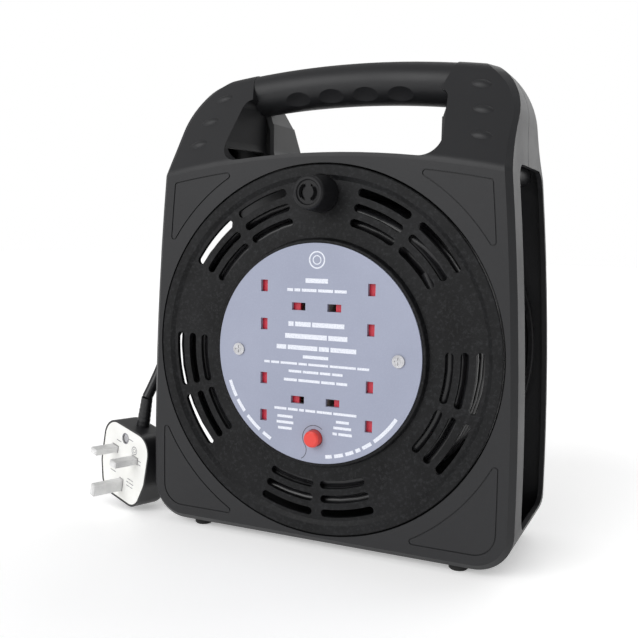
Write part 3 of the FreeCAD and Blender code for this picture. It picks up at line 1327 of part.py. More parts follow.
# ---------------------------------------------------------------------------------------
doc.recompute()
failed = [thing.Name for thing in doc.Objects if {"Invalid", "Error"} & set(thing.State)]
bad = [part.Label for part in parts if part.Shape.isNull() or not part.Shape.isValid()]
if failed or bad:
    raise RuntimeError(f"failed objects {failed}, bad shapes {bad}")
os.makedirs("parts", exist_ok=True)
for part in parts:
    part.Shape.exportStep(f"parts/{part.Label}.step")
    box = part.Shape.BoundBox
    print(f"{part.Label:28s} solids {len(part.Shape.Solids)}  x {box.XMin:.1f} {box.XMax:.1f}  "
          f"y {box.YMin:.1f} {box.YMax:.1f}  z {box.ZMin:.1f} {box.ZMax:.1f}")
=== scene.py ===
# %% [markdown]
# # A cable reel, finished on top of its frame
# The reel is a black plastic case with a carry handle. A drum with four sockets turns in
# its front, and the cord winds between the drum's two flanges. The hard shapes come in
# ready made and at real size. This lesson adds the camera and lights, the cord, the small
# soft or wound pieces, the printed marks, and a finish for every surface.

# %% Load the frame
import json
import math

import bpy
import numpy as np
from mathutils import Matrix, Vector

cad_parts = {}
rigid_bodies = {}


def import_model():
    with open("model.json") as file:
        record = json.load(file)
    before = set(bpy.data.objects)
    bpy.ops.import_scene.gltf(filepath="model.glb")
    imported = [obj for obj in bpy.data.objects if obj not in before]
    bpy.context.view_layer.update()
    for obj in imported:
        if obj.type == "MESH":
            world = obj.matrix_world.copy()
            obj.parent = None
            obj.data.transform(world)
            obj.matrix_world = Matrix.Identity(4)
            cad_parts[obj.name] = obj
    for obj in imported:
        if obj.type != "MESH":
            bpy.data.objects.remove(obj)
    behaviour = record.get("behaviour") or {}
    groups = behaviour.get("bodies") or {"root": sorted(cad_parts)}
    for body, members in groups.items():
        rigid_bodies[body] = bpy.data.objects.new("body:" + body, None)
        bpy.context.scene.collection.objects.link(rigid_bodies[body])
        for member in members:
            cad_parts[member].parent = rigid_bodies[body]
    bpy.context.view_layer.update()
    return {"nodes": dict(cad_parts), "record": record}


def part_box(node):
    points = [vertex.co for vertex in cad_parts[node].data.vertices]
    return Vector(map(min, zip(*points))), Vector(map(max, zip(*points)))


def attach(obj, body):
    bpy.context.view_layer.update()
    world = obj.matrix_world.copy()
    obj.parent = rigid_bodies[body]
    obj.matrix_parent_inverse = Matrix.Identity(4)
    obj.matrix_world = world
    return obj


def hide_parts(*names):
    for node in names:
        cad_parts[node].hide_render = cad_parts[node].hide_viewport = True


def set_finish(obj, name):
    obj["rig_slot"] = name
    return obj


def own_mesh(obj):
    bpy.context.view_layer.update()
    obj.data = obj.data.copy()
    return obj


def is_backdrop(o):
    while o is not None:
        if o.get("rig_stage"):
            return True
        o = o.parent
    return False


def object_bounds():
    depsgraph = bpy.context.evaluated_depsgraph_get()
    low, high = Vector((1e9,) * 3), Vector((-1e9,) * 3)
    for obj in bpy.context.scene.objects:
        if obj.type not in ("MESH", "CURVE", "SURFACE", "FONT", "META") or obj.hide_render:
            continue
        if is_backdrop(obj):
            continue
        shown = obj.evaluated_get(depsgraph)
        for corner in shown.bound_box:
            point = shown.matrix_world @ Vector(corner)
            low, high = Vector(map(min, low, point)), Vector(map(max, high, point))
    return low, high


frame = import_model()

parts = frame["nodes"]
print("pieces in the frame:", len(parts))

# %% [markdown]
# ## Camera
# A matrix says where a camera is and how it is turned in one go: its columns are the
# directions that the camera calls right, up and back. It could also be aimed with a
# constraint, but a matrix keeps the slight roll that a hand-held shot has.

# %% Camera
right = Vector((0.90877, 0.41693, 0.01734))
up = Vector((-0.07166, 0.11499, 0.99078))
back = Vector((0.41109, -0.90164, 0.13438))
lens = bpy.data.cameras.new("camera")
lens.sensor_width = 36
lens.lens = 47.38
lens.shift_x, lens.shift_y = -0.0040, 0.0510
lens.clip_start, lens.clip_end = 0.01, 50
camera = bpy.data.objects.new("camera", lens)
turn = Matrix((right, up, back)).transposed().to_4x4()
camera.matrix_world = Matrix.Translation((0.1996, -0.4708, 0.1827)) @ turn
bpy.context.collection.objects.link(camera)
bpy.context.scene.camera = camera

# %% [markdown]
# ## Cord
# The cord is one length of round three-core flex. Most of it is wound on the drum, and
# the end with the plug hangs out of the side of the case. A NURBS curve with a bevel is
# the natural way to make it: a few control points give one smooth line, and the tube
# follows it. The order has to be set after the points are there.

# %% Cord helper
CORD = 0.0035


def cord_curve(name, points, smooth=8):
    """A round tube of radius CORD on one open NURBS spline of order 3 through control points."""
    curve = bpy.data.curves.new(name, "CURVE")
    curve.dimensions = "3D"
    spline = curve.splines.new("NURBS")
    spline.points.add(len(points) - 1)
    flat = np.column_stack([np.asarray(points), np.ones(len(points))])
    spline.points.foreach_set("co", flat.ravel())
    spline.points.foreach_set("radius", np.full(len(points), CORD))
    spline.order_u = 3
    spline.use_endpoint_u = True
    spline.resolution_u = smooth
    curve.bevel_depth = 1.0
    curve.bevel_resolution = 4
    curve.use_fill_caps = True
    piece = bpy.data.objects.new(name, curve)
    bpy.context.collection.objects.link(piece)
    return piece


# %% [markdown]
# The free end comes off the winding inside the case, goes out through the side opening
# and drops in an easy curve to the plug, which leans against the case on the floor.

# %% Free end of the cord
free_end = np.array([
    (-135.071, -16.511, 74.82), (-129.5, -9.5, 92.0), (-124.0, -4.5, 113.0), (-111.5, 0.5, 133.5),
    (-97.0, 3.5, 155.5), (-79.5, 5.0, 177.5), (-59.5, 6.0, 196.0)]) / 1000
tail = cord_curve("cord_free_end", free_end[::-1], smooth=12)
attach(tail, "case")
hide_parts("cord_tail")
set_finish(tail, "cord_black")
print("free end drops", round(float(free_end[-1][2] - free_end[0][2]), 3), "m")

# %% [markdown]
# ## Winding
# Fifteen metres are wound in three layers, and the last layer is not full. Each turn runs
# straight round the drum for most of the way and then steps sideways by one cord's width,
# and a layer lies in the grooves of the one below. The turns of the last layer were put on
# by hand, so they wander, leave gaps and stand off a little on the side where the end was
# let go. The whole winding is one long list of points, worked out from a running count of
# turns. Separate rings would be simpler, but a real cord is one piece and steps across.

# %% Winding
TURNS, OUTER_TURNS, PER_TURN = 11, 7, 16
AXIS = 0.1165
FIRST_Y, PITCH, LOOSE_PITCH = -0.0304, 0.00695, 0.0100
INNER_RADIUS, LAYER_RISE = 0.0775, 0.00606
STRAIGHT_SHARE, START_ANGLE = 0.72, 0.9
LOOSE_SHIFT, LOOSE_WANDER = 0.0008, 0.0011
CROSSING_BUMP, RADIUS_WANDER = 0.0007, 0.00012
SLACK_SIDE = np.radians(262)
SLACK_AT = (0.0, 1.0, 2.0, 3.0, 4.5, 6.0, 7.0)
SLACK = (0.0072, 0.0078, 0.0030, 0.0050, 0.0020, 0.0040, 0.0)


def winding_points():
    """Radius grows by layer, plus slack as cos^1.6 on one side; y steps one pitch late in each turn, eased."""
    count = np.arange((TURNS * 2 + OUTER_TURNS) * PER_TURN + 1) / PER_TURN
    layer = np.minimum((count // TURNS).astype(int), 2)
    within = count - layer * TURNS
    whole = np.floor(within)
    step = np.clip((within - whole - STRAIGHT_SHARE) / (1 - STRAIGHT_SHARE), 0, 1)
    place = np.minimum(whole + step * step * (3 - 2 * step), TURNS - 1)
    straight = FIRST_Y + PITCH * np.where(layer == 1, TURNS - 1.5 - place, place).clip(0)
    loose = FIRST_Y + LOOSE_SHIFT + LOOSE_PITCH * place + LOOSE_WANDER * np.sin(count * 2.3)
    y = np.where(layer == 2, loose, straight)
    bump = np.sin(np.pi * step) ** 2 * np.where(layer == 1, CROSSING_BUMP, 0)
    wander = RADIUS_WANDER * np.sin(count * 5.1) * (layer > 0)
    angle = 2 * np.pi * count + START_ANGLE
    slack = np.cos(angle - SLACK_SIDE).clip(0) ** 1.6 * np.interp(within, SLACK_AT, SLACK) * (layer == 2)
    radius = INNER_RADIUS + LAYER_RISE * layer + bump + wander + slack
    return np.column_stack([radius * np.sin(angle), y, AXIS + radius * np.cos(angle)])


turns = winding_points()
winding = cord_curve("cord_winding_turns", turns, smooth=3)
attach(winding, "drum")
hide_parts("cord_winding")
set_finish(winding, "cord_black")
wound = float(np.linalg.norm(np.diff(turns, axis=0), axis=1).sum())
print("wound length", round(wound, 2), "m")

# %% [markdown]
# ## Surfaces from numbers
# Round pieces, such as a sleeve or a coil of wire, are surfaces with two parameters. The
# helper takes a grid of points and joins neighbours into quads, wrapping round where the
# surface closes.

# %% Grid helper
def surface(name, grid, wrap_u=False, wrap_v=False):
    """A mesh from an array of points (u, v, xyz); quad (i, j) joins corners (i, j) to (i+1, j+1)."""
    rows, columns = grid.shape[:2]
    index = np.arange(rows * columns).reshape(rows, columns)
    if wrap_u:
        index = np.vstack([index, index[:1]])
    if wrap_v:
        index = np.hstack([index, index[:, :1]])
    quads = np.stack([index[:-1, :-1], index[:-1, 1:], index[1:, 1:], index[1:, :-1]], axis=-1).reshape(-1, 4)
    mesh = bpy.data.meshes.new(name)
    mesh.from_pydata(grid.reshape(-1, 3).tolist(), [], quads.tolist())
    mesh.shade_smooth()
    mesh.validate()
    piece = bpy.data.objects.new(name, mesh)
    bpy.context.collection.objects.link(piece)
    return piece


def turned(name, profile, start, direction, steps=48):
    """A profile of (distance along, radius) pairs carried round a line: point = line + radius * unit circle."""
    axis = np.array(Vector(direction).normalized())
    side = np.cross(axis, (0.0, 0.0, 1.0) if abs(axis[2]) < 0.9 else (1.0, 0.0, 0.0))
    side /= np.linalg.norm(side)
    other = np.cross(axis, side)
    angle = np.linspace(0, 2 * np.pi, steps, endpoint=False)
    circle = np.outer(np.cos(angle), side) + np.outer(np.sin(angle), other)
    profile = np.asarray(profile, float)
    grid = np.asarray(start) + profile[:, :1, None] * axis + profile[:, 1, None, None] * circle[None]
    return surface(name, grid, wrap_v=True)


# %% [markdown]
# ## Cord sleeve at the plug
# Where the cord enters the plug a short rubber sleeve stops it from kinking. It tapers
# and has a few soft ribs, so its radius is a straight taper plus a sine wave. A cone with
# rings added to it would do too, but one profile keeps the sleeve a single closed skin.

# %% Cord sleeve
RIBS, RIB_HEIGHT = 6, 0.00007
FOOT_RADIUS, NARROWING = 0.0044, 0.0007
sleeve_foot = np.array((-139.029, -15.922, 55.224)) / 1000
sleeve_run = free_end[0] - sleeve_foot
sleeve_long = float(np.linalg.norm(sleeve_run))
along = np.linspace(0, 1, 61)
ribs = RIB_HEIGHT * np.sin(along * 2 * np.pi * RIBS) * np.sin(np.pi * along) ** 0.5
profile = np.column_stack([along * sleeve_long, FOOT_RADIUS - NARROWING * along + ribs])
profile = np.vstack([[-0.002, 0.0002], [-0.002, 0.0042], profile, [sleeve_long, 0.0036], [sleeve_long, 0.0002]])
sleeve = turned("cord_sleeve", profile, sleeve_foot, sleeve_run)
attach(sleeve, "case")
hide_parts("plug_cord_guard")
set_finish(sleeve, "cord_black")
print("sleeve length", round(sleeve_long, 4), "m")

# %% [markdown]
# ## Springs
# The shutters and the reset button come back by themselves because small coil springs
# push them. A coil is a tube round a helix: the middle line is worked out first, and
# then a small circle is set square to it at each place.


def coil(name, start, direction, length, radius, wire, loops):
    """Middle line = start + share of length along the axis + radius round it; each ring is square to that line."""
    axis = np.array(direction, float)
    side = np.cross(axis, (0.0, 0.0, 1.0))
    other = np.cross(axis, side)
    t = np.linspace(0, 1, loops * 18 + 1)[:, None]
    angle = 2 * np.pi * loops * t
    outward = np.cos(angle) * side + np.sin(angle) * other
    middle = np.asarray(start) + t * length * axis + radius * outward
    forward = length * axis + radius * 2 * np.pi * loops * (-np.sin(angle) * side + np.cos(angle) * other)
    forward /= np.linalg.norm(forward, axis=1, keepdims=True)
    across = np.cross(forward, outward)
    ring = np.linspace(0, 2 * np.pi, 8, endpoint=False)[None, :, None]
    grid = middle[:, None] + wire * (np.cos(ring) * outward[:, None] + np.sin(ring) * across[:, None])
    return surface(name, grid, wrap_v=True)


for node in [name for name in parts if name.startswith("shutter_spring_")]:
    corner = node.removeprefix("shutter_spring_")
    low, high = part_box(node)
    length = high.x - low.x
    side = 1 if low.x > 0 else -1
    foot = (low.x if side > 0 else high.x, (low.y + high.y) / 2, (low.z + high.z) / 2)
    spring = coil("coil_" + corner, foot, (side, 0, 0), length, 0.00132, 0.00024, 8)
    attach(spring, "drum")
    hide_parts(node)
    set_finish(spring, "spring_steel")
    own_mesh(spring)
low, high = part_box("button_spring")
foot = ((low.x + high.x) / 2, low.y, (low.z + high.z) / 2)
length = high.y - low.y
button_coil = coil("coil_button", foot, (0, 1, 0), length, 0.0030, 0.00034, 6)
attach(button_coil, "drum")
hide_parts("button_spring")
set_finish(button_coil, "spring_steel")
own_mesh(button_coil)
print("button spring", round(length, 4), "m long at rest")

# %% [markdown]
# The tail's pieces ride with the case and the winding rides with the drum.

# %% [markdown]
# ## Finishes
# Every finish is made of nodes: noise at two or three sizes shifts the colour, the
# roughness and the surface height a little. Real moulded plastic has a fine grain from
# the mould, a few cloudy patches, and a sheen that is never the same all over.

# %% Node helpers
class Finish:
    """A material with a surface shader and a point in object space to hang patterns on."""

    def __init__(self, name, colour, roughness, **sockets):
        self.name = name
        self.material = bpy.data.materials.new(name + "_finish")
        self.material.use_nodes = True
        self.tree = self.material.node_tree
        self.shader = next(node for node in self.tree.nodes if node.type == "BSDF_PRINCIPLED")
        self.place = self.tree.nodes.new("ShaderNodeTexCoord").outputs["Object"]
        self.shader.inputs["Base Color"].default_value = (*colour, 1)
        self.shader.inputs["Roughness"].default_value = roughness
        for key, value in sockets.items():
            self.shader.inputs[key.replace("_", " ")].default_value = value
        self.material.diffuse_color = (*colour, 1)

    def node(self, kind, **settings):
        made = self.tree.nodes.new("ShaderNode" + kind)
        for key, value in settings.items():
            setattr(made, key, value)
        return made

    def stretched(self, scale, turn=(0, 0, 0)):
        """The place in space, stretched by scale after a turn."""
        mapping = self.node("Mapping")
        mapping.inputs["Scale"].default_value = scale
        mapping.inputs["Rotation"].default_value = turn
        self.tree.links.new(self.place, mapping.inputs["Vector"])
        return mapping.outputs[0]

    def noise(self, scale, detail=3.0, rough=0.55, distortion=0.0, place=None):
        made = self.node("TexNoise")
        made.inputs["Scale"].default_value = scale
        made.inputs["Detail"].default_value = detail
        made.inputs["Roughness"].default_value = rough
        made.inputs["Distortion"].default_value = distortion
        self.tree.links.new(place or self.place, made.inputs["Vector"])
        return made.outputs["Fac"]

    def fit(self, value, low, high, to_low, to_high):
        """value from low..high is stretched to to_low..to_high and clamped."""
        made = self.node("MapRange")
        for key, number in zip(("From Min", "From Max", "To Min", "To Max"), (low, high, to_low, to_high)):
            made.inputs[key].default_value = number
        self.tree.links.new(value, made.inputs["Value"])
        return made.outputs[0]

    def blend(self, amount, first, second):
        """first where amount is 0 and second where it is 1; each is a colour or a socket."""
        made = self.node("Mix", data_type="RGBA")
        self.tree.links.new(amount, made.inputs[0])
        for socket, value in ((made.inputs[6], first), (made.inputs[7], second)):
            if isinstance(value, tuple):
                socket.default_value = (*value, 1)
            else:
                self.tree.links.new(value, socket)
        return made.outputs[2]

    def colour(self, socket):
        self.tree.links.new(socket, self.shader.inputs["Base Color"])

    def roughness(self, socket):
        self.tree.links.new(socket, self.shader.inputs["Roughness"])

    def height(self, socket, distance, strength=1.0):
        """Adds bumps on top of those already there."""
        made = self.node("Bump")
        made.inputs["Strength"].default_value = strength
        made.inputs["Distance"].default_value = distance
        self.tree.links.new(socket, made.inputs["Height"])
        if self.shader.inputs["Normal"].is_linked:
            self.tree.links.new(self.shader.inputs["Normal"].links[0].from_socket, made.inputs["Normal"])
        self.tree.links.new(made.outputs[0], self.shader.inputs["Normal"])


# %% [markdown]
# ### Plastics
# One recipe serves all the plastics, with other numbers. Patches some centimetres wide
# cloud the colour. Pale flecks about a millimetre wide are partly the plastic's own tone
# and partly painted sheen, a mottled shine put into the colour. A grain finer than a
# millimetre gives the sheen its sparkle, and thin stretched noise stands for the faint rubs
# of handling.

# %% Plastics
def moulded(name, dark, light, rough, grain=1500, grain_height=0.00004, rubs=0.0, sheen_fleck_share=0.4, shine=0.5,
            cloud_size=16, sheen_fleck_gain=1.35):
    """colour = dark..light by cloudy noise, with pale flecks of painted sheen; roughness = base +- cloud; height =
    fine grain.
    """
    finish = Finish(name, dark, rough, Specular_IOR_Level=shine)
    cloud = finish.noise(cloud_size, 4, 0.6)
    # Pale flecks: partly the plastic's own tone, partly painted sheen, a mottled shine put into the colour.
    sheen_fleck = finish.noise(grain * 0.45, 2, 0.7)
    mottled = finish.blend(finish.fit(cloud, 0.35, 0.68, 0, 1), dark, light)
    pale = tuple(min(1.0, channel * sheen_fleck_gain + 0.003) for channel in light)
    finish.colour(finish.blend(finish.fit(sheen_fleck, 0.5, 0.78, 0, sheen_fleck_share), mottled, pale))
    finish.roughness(finish.fit(cloud, 0.3, 0.7, rough - 0.05, rough + 0.07))
    finish.height(finish.noise(grain, 2, 0.6), grain_height)
    if rubs:
        streak = finish.noise(1.0, 2, 0.5, 0.4, finish.stretched((260, 30, 90), (0.3, 0.2, 0.7)))
        finish.height(finish.fit(streak, 0.6, 0.75, 0, 1), -0.00002 * rubs)
        dust = finish.noise(55, 5, 0.7, 0.6)
        finish.height(finish.fit(dust, 0.45, 0.62, 0, 1), 0.00001 * rubs)
    return finish


case_plastic = moulded("case_plastic", (0.0130, 0.0132, 0.0146), (0.0148, 0.0150, 0.0165), 0.46, rubs=0.5,
                       sheen_fleck_share=0.15, shine=0.32)
# The drum's many strong pale flecks are painted sheen: a mottled shine put into its colour.
drum_plastic = moulded("drum_plastic", (0.0025, 0.0026, 0.0030), (0.0080, 0.0082, 0.0090), 0.45, 1300,
                       0.00009, rubs=1.5, sheen_fleck_share=0.8, shine=0.17, cloud_size=34, sheen_fleck_gain=2.6)
knob_plastic = moulded("knob_plastic", (0.006, 0.006, 0.007), (0.009, 0.009, 0.010), 0.35, 2400, 0.00002,
                       shine=0.22)
plate_plastic = moulded("plate_grey", (0.290, 0.312, 0.402), (0.318, 0.340, 0.435), 0.42, 2200, 0.00002,
                        sheen_fleck_share=0.15, shine=0.3)
base_plastic = moulded("base_white", (0.62, 0.61, 0.57), (0.70, 0.69, 0.66), 0.45, 1500)
shutter_plastic = moulded("shutter_red", (0.50, 0.012, 0.035), (0.58, 0.02, 0.045), 0.34, 2200, 0.00002)
button_plastic = moulded("button_red", (0.66, 0.050, 0.040), (0.74, 0.065, 0.050), 0.32, 2200, 0.00002,
                         sheen_fleck_share=0.1, shine=0.4)
cutout_plastic = moulded("cutout_dark", (0.04, 0.033, 0.028), (0.055, 0.045, 0.038), 0.5)
plug_plastic = moulded("plug_black", (0.010, 0.010, 0.011), (0.015, 0.015, 0.0165), 0.36, 2200, 0.00002,
                       shine=0.4)
sheath = moulded("cord_black", (0.008, 0.008, 0.009), (0.013, 0.013, 0.0145), 0.30, 900, 0.00003, shine=0.4)
fuse_ceramic = moulded("fuse_ceramic", (0.70, 0.68, 0.62), (0.76, 0.74, 0.69), 0.25, 1200)
foot_rubber = moulded("foot_rubber", (0.012, 0.012, 0.012), (0.018, 0.018, 0.018), 0.75, 1400, 0.00008, shine=0.2)

# %% [markdown]
# ### Card
# The card on the plug's face is thin white board. Its fibres are long thin noise laid
# two ways, which shows as a faint tooth when light rakes over it.

# %% Card
card = Finish("card_white", (0.80, 0.80, 0.78), 0.55)
fibres = card.noise(1.0, 3, 0.6, 0.6, card.stretched((2600, 2600, 500), (0.2, 0, 0.5)))
card.colour(card.blend(card.fit(card.noise(90, 3), 0.35, 0.7, 0, 1), (0.82, 0.82, 0.80), (0.77, 0.77, 0.74)))
card.height(fibres, 0.00003)
print("card has", len(card.tree.nodes), "nodes")

# %% [markdown]
# ### Metals
# Pins and bars are stamped from sheet and tumbled, so they have a soft brushed look: a
# noise stretched along one direction moves the roughness and cuts shallow lines.

# %% Metals
def brushed(name, dark, light, rough, scale=(200, 3000, 3000), lines=0.00002, metal=1.0):
    """Metal whose colour and roughness follow long thin noise."""
    finish = Finish(name, light, rough, Metallic=metal)
    streak = finish.noise(1.0, 3, 0.6, 0.1, finish.stretched(scale))
    stain = finish.noise(120, 3, 0.6)
    finish.colour(finish.blend(finish.fit(stain, 0.35, 0.7, 0, 1), light, dark))
    finish.roughness(finish.fit(streak, 0.3, 0.7, rough - 0.06, rough + 0.12))
    finish.height(streak, lines)
    return finish


pin_metal = brushed("pin_metal", (0.66, 0.66, 0.66), (0.78, 0.78, 0.78), 0.5, lines=0.00001, metal=0.35)
brass = brushed("brass_bar", (0.55, 0.38, 0.16), (0.80, 0.60, 0.28), 0.32, (3000, 3000, 200))
screw_steel = brushed("screw_steel", (0.30, 0.30, 0.31), (0.55, 0.55, 0.57), 0.20, (900, 900, 900), 0.00004)
washer_steel = brushed("washer_steel", (0.45, 0.45, 0.46), (0.60, 0.60, 0.61), 0.36, (1500, 200, 1500))
spring_steel = brushed("spring_steel", (0.40, 0.40, 0.42), (0.58, 0.58, 0.60), 0.28, (2500, 2500, 2500))
print("metals made: 5")

# %% [markdown]
# ### Handing the finishes out
# Each hard piece arrives with the name of its material, and each piece made here was given
# one too. A table from that name to a finish serves both, so no piece is left grey.

# %% Give each piece its finish
by_slot = {finish.name: finish.material for finish in (
    case_plastic, drum_plastic, knob_plastic, plate_plastic, base_plastic, shutter_plastic, button_plastic,
    cutout_plastic, plug_plastic, sheath, fuse_ceramic, foot_rubber, card, pin_metal, brass, screw_steel,
    washer_steel, spring_steel)}
slot_of = {entry["node"]: entry["material_slot"] for entry in frame["record"]["subparts"]}
for node, piece in parts.items():
    piece.data.materials.clear()
    piece.data.materials.append(by_slot[slot_of[node]])
for piece in bpy.data.objects:
    if "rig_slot" in piece and piece.name not in parts:
        piece.data.materials.clear()
        piece.data.materials.append(by_slot[piece["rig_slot"]])
print("finishes:", len(by_slot))

# %% [markdown]
# ## Flat marks
# Printed marks have next to no thickness, so each one is modelled as a flat ribbon: a
# line of points in the plane, widened to both sides, and lifted a few hundredths of a
# millimetre off the surface. An image would do too, but ribbons stay sharp at any distance
# and need no unwrapping. The ink is thin in places, where fine noise lets it wear.

# %% Flat marks
def ink_and_shade(name, colour, full, thin, grain=900, patch_from=0.4, rough=0.5, **sockets):
    """Flat ink, and flat painted shade: the colour goes from full to thin where fine noise passes a set level."""
    finish = Finish(name, colour, rough, **sockets)
    wear_and_shade_patch = finish.fit(finish.noise(grain, 2), patch_from, patch_from + 0.3, 0, 1)
    finish.colour(finish.blend(wear_and_shade_patch, full, thin))
    return finish


def flat_marks(name, lines, finish, slot, to_space):
    """Each line is (points in the plane, width); its edges are the points moved half a width to either side."""
    corners, faces, count = [], [], 0
    for points, width in lines:
        points = np.asarray(points, float)
        forward = np.gradient(points, axis=0)
        forward /= np.linalg.norm(forward, axis=1, keepdims=True)
        aside = np.column_stack([-forward[:, 1], forward[:, 0]]) * width / 2
        edges = np.stack([points + aside, points - aside], axis=1).reshape(-1, 2)
        start = count + 2 * np.arange(len(points) - 1)
        faces.append(np.column_stack([start, start + 1, start + 3, start + 2]))
        corners.append(edges)
        count += len(edges)
    mesh = bpy.data.meshes.new(name)
    mesh.from_pydata(to_space(np.vstack(corners)).tolist(), [], np.vstack(faces).tolist())
    mesh.materials.append(finish.material)
    piece = bpy.data.objects.new(name, mesh)
    bpy.context.collection.objects.link(piece)
    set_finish(piece, slot)
    return piece


def dashes(x, z, width, height, lengths, gap=0.9):
    """A row of dashes centred on x: each one's share of width, less the gaps, follows lengths."""
    lengths = np.asarray(lengths, float)
    run = lengths / lengths.sum() * (width - gap * (len(lengths) - 1))
    start = x - width / 2 + np.concatenate([[0], np.cumsum(run + gap)[:-1]])
    return [(((a, z), (a + b, z)), height) for a, b in zip(start, run)]


def round_line(radius, start, end, width, x=0.0, z=0.0, steps=24):
    """An arc from start to end degrees, counted from +X towards +Z, round (x, z)."""
    angle = np.radians(np.linspace(start, end, steps))
    return np.column_stack([x + radius * np.cos(angle), z + radius * np.sin(angle)]), width


ink = ink_and_shade("ink_white", (0.74, 0.76, 0.82), (0.76, 0.78, 0.84), (0.55, 0.58, 0.68), 1700, 0.42,
            Specular_IOR_Level=0.3)
dark_ink = ink_and_shade("ink_dark", (0.05, 0.05, 0.07), (0.045, 0.045, 0.06), (0.12, 0.12, 0.15))
grey_ink = ink_and_shade("ink_grey", (0.22, 0.22, 0.24), (0.16, 0.16, 0.18), (0.34, 0.34, 0.36))
print("inks made: 3")

# %% [markdown]
# ### Plate marks
# The plate carries printed notes. Plain dashes, as long as words, stand in for them, so
# nothing can be read, and two rings stand in for a sign. A thin dark line that winds round
# the button is made of two arcs that run smoothly into each other.

# %% Plate marks
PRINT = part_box("socket_plate")[0].y * 1000 - 0.04
NOTE_ARC = 59.2
NEAR_ARC, FAR_ARC, LINE_WIDTH = 7.4, 6.0, 0.45


def on_plate(flat):
    """(x, z) in mm from the drum's axis to metres, on the front of the socket plate."""
    return np.column_stack([flat[:, 0], np.full(len(flat), PRINT), flat[:, 1] + AXIS * 1000]) / 1000


notes = [round_line(4.6, 0, 360, 0.8, 0, 53.8, 40), round_line(2.4, 0, 360, 0.6, 0, 53.8, 30)]
for z, width, height, lengths in (
        (42.0, 14, 2.6, (1,)), (36.5, 37, 1.7, (2, 2, 5, 5, 4)), (17.0, 35, 2.7, (1, 3, 6)),
        (10.0, 39, 2.8, (9, 4)), (3.4, 50, 2.6, (2, 6, 2, 5)), (-1.7, 16, 1.9, (1,)),
        (-6.0, 66, 1.4, (2, 3, 6, 3, 7, 9, 4)), (-10.5, 34, 1.5, (5, 6, 4, 4)), (-15.6, 40, 1.6, (5, 8, 5, 4)),
        (-33.0, 52, 1.5, (5, 4, 2, 4, 6, 9))):
    notes += dashes(0, z, width, height, lengths)
for x, rows in ((-19.0, (10, 11, 9)), (17.5, (8, 11, 12))):
    for n, width in enumerate(rows):
        notes += dashes(x, -37.6 - 3.5 * n, width, 1.6, (1,) if width < 12 else (1, 3))
for start, end in ((199, 209), (211, 219), (222, 233), (235.5, 241.5), (277, 281), (282.5, 288), (289.5, 294.5),
                   (296, 299), (300.5, 306.5), (308.5, 327)):
    notes.append(round_line(NOTE_ARC, start, end, 2.1))
plate_marks = flat_marks("plate_marks", notes, ink, "card_white", on_plate)
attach(plate_marks, "drum")
button_low, button_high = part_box("reset_button")
button_z = (button_low.z + button_high.z) * 500 - AXIS * 1000
bend, apart = math.radians(215), NEAR_ARC + FAR_ARC
upper = round_line(NEAR_ARC, 48, 215, LINE_WIDTH, 0, button_z, 40)[0]
lower = round_line(FAR_ARC, 35, -62, LINE_WIDTH, apart * math.cos(bend), button_z + apart * math.sin(bend))[0]
round_button = [(np.vstack([upper, lower[1:]]), LINE_WIDTH)]
button_line = flat_marks("button_line", round_button, dark_ink, "drum_plastic", on_plate)
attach(button_line, "drum")
print("dashes on the plate:", len(notes))

# %% [markdown]
# ### Knob slots, drawn in painted shade
# The knob's face has two curved slots. They are drawn rather than cut: a nearly black,
# dull ribbon just above the face is painted shade that stands for the hollow of each slot.
# They turn with the knob.

# %% Knob slots in painted shade
knob_low, knob_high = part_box("winding_knob")


def on_knob(flat):
    """(x, z) in mm from the knob's axis to metres, just above the knob's front."""
    centre = ((knob_low.x + knob_high.x) * 500, (knob_low.z + knob_high.z) * 500)
    y = np.full(len(flat), knob_low.y * 1000 - 0.03)
    return np.column_stack([flat[:, 0] + centre[0], y, flat[:, 1] + centre[1]]) / 1000


grips = [round_line(4.4, start, start + 100, 1.5) for start in (-62, 118)]
# Painted shade: a nearly black, dull finish that stands for the shade inside the knob's slots.
slot_shade = ink_and_shade("slot_shade_painted", (0.002, 0.002, 0.002), (0.0012, 0.0012, 0.0014), (0.004, 0.004, 0.0045), 1200,
               rough=0.9, Specular_IOR_Level=0.05)
slot_shade_sheet = flat_marks("knob_slots", grips, slot_shade, "knob_plastic", on_knob)
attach(slot_shade_sheet, "knob")
print("slots on the knob:", len(grips))

# %% [markdown]
# ### Card marks
# The card has small print beside each pin. Short grey dashes and rings stand in for it.
# They are laid out flat, turned by the plug's own lean, and moved to its pin face.

# %% Card marks
TILT = (Matrix.Rotation(math.radians(-17.5), 3, "Z") @ Matrix.Rotation(math.radians(11.4), 3, "Y")
        @ Matrix.Rotation(math.radians(-1.8), 3, "X"))
PLUG_PLACE = (-148.5, -26.5, 26.2)


def on_card(flat):
    """(x, z) in mm on the plug's pin face to metres: turned with the plug and moved to its place."""
    raised = np.column_stack([flat[:, 0], np.full(len(flat), 0.05), flat[:, 1]])
    return (raised @ np.array(TILT).T + PLUG_PLACE) / 1000


small_print = [round_line(3.4, 0, 360, 0.7, -1.5, 21.5, 30), round_line(2.6, 0, 360, 0.5, 9.6, 17.0, 30),
               round_line(1.3, 0, 360, 0.4, 9.6, 17.0, 20)]
for x, z, width, lengths in (
        (4.5, 22.6, 5, (1,)), (15.5, 12.0, 5, (1,)), (15.5, 9.6, 5, (2, 3)), (-8.0, 17.5, 5, (1,)),
        (0.5, 6.0, 8, (3, 2)), (0.5, 3.6, 6, (1,)), (9.5, -4.0, 6, (2, 1)), (9.5, -6.4, 8, (1, 2)),
        (9.5, -8.8, 7, (3, 2)), (-10.0, -5.0, 6, (1,))):
    small_print += dashes(x, z, width, 0.55, lengths, 0.5)
card_marks = flat_marks("card_marks", small_print, grey_ink, "drum_plastic", on_card)
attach(card_marks, "case")
print("dashes on the card:", len(small_print))

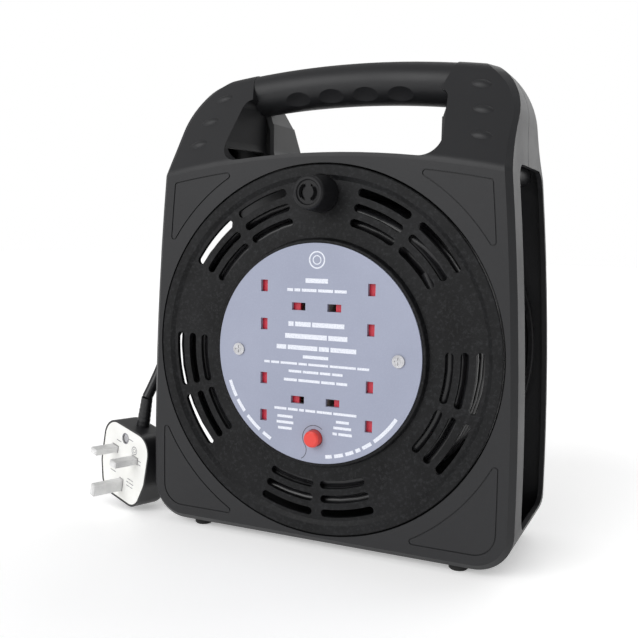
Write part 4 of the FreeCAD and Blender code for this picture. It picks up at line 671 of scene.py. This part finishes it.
# %% [markdown]
# ## Floor and light
# A plain pale floor and a soft white surround keep the black plastic readable. The camera
# sees the surround at full white, while it lights the object at under half of that, so the
# hollows stay dark. One wide sun from the front left shapes the forms, and a weak one from
# behind lifts the back. The floor glows a little, as a white sheet with its own lamps does
# in a studio.

# %% Floor and light
FAR, UNDER = 6, -0.0003
mesh = bpy.data.meshes.new("floor")
mesh.from_pydata([(x * FAR, y * FAR, UNDER) for x, y in ((-1, -1), (1, -1), (1, 1), (-1, 1))], [], [(0, 1, 2, 3)])
floor = bpy.data.objects.new("floor", mesh)
bpy.context.collection.objects.link(floor)
pale = Finish("floor_pale", (0.96, 0.96, 0.96), 0.6)
pale.height(pale.noise(40, 3), 0.0002, 0.1)
pale.shader.inputs["Emission Color"].default_value = (1, 1, 1, 1)
pale.shader.inputs["Emission Strength"].default_value = 0.32
mesh.materials.append(pale.material)
floor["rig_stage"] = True

world = bpy.data.worlds.new("surround")
world.use_nodes = True
sky = world.node_tree
backdrop = sky.nodes["Background"]
backdrop.inputs["Color"].default_value = (1, 1, 1, 1)
backdrop.inputs["Strength"].default_value = 1.0
glow = sky.nodes.new("ShaderNodeBackground")
glow.inputs["Color"].default_value = (1, 1, 1, 1)
glow.inputs["Strength"].default_value = 0.45
seen = sky.nodes.new("ShaderNodeLightPath")
either = sky.nodes.new("ShaderNodeMixShader")
sky.links.new(seen.outputs["Is Camera Ray"], either.inputs["Fac"])
sky.links.new(glow.outputs[0], either.inputs[1])
sky.links.new(backdrop.outputs[0], either.inputs[2])
sky.links.new(either.outputs[0], sky.nodes["World Output"].inputs["Surface"])
bpy.context.scene.world = world


def sun(name, place, power, spread):
    """A sun that shines from place towards the origin; spread is the angle it fills, in degrees."""
    light = bpy.data.lights.new(name, "SUN")
    light.energy = power
    light.angle = math.radians(spread)
    holder = bpy.data.objects.new(name, light)
    holder.location = place
    holder.rotation_euler = (-Vector(place)).to_track_quat("-Z", "Y").to_euler()
    bpy.context.collection.objects.link(holder)


sun("key", (-0.9, -2.0, 1.15), 1.8, 45)
sun("behind", (0.7, 2.0, 1.3), 0.9, 60)
bpy.context.scene.view_settings.view_transform = "Standard"

# %% [markdown]
# ## Sizes and finish
# The box round everything that is drawn, the floor left out, is worked out.

# %% Sizes and finish
low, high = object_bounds()
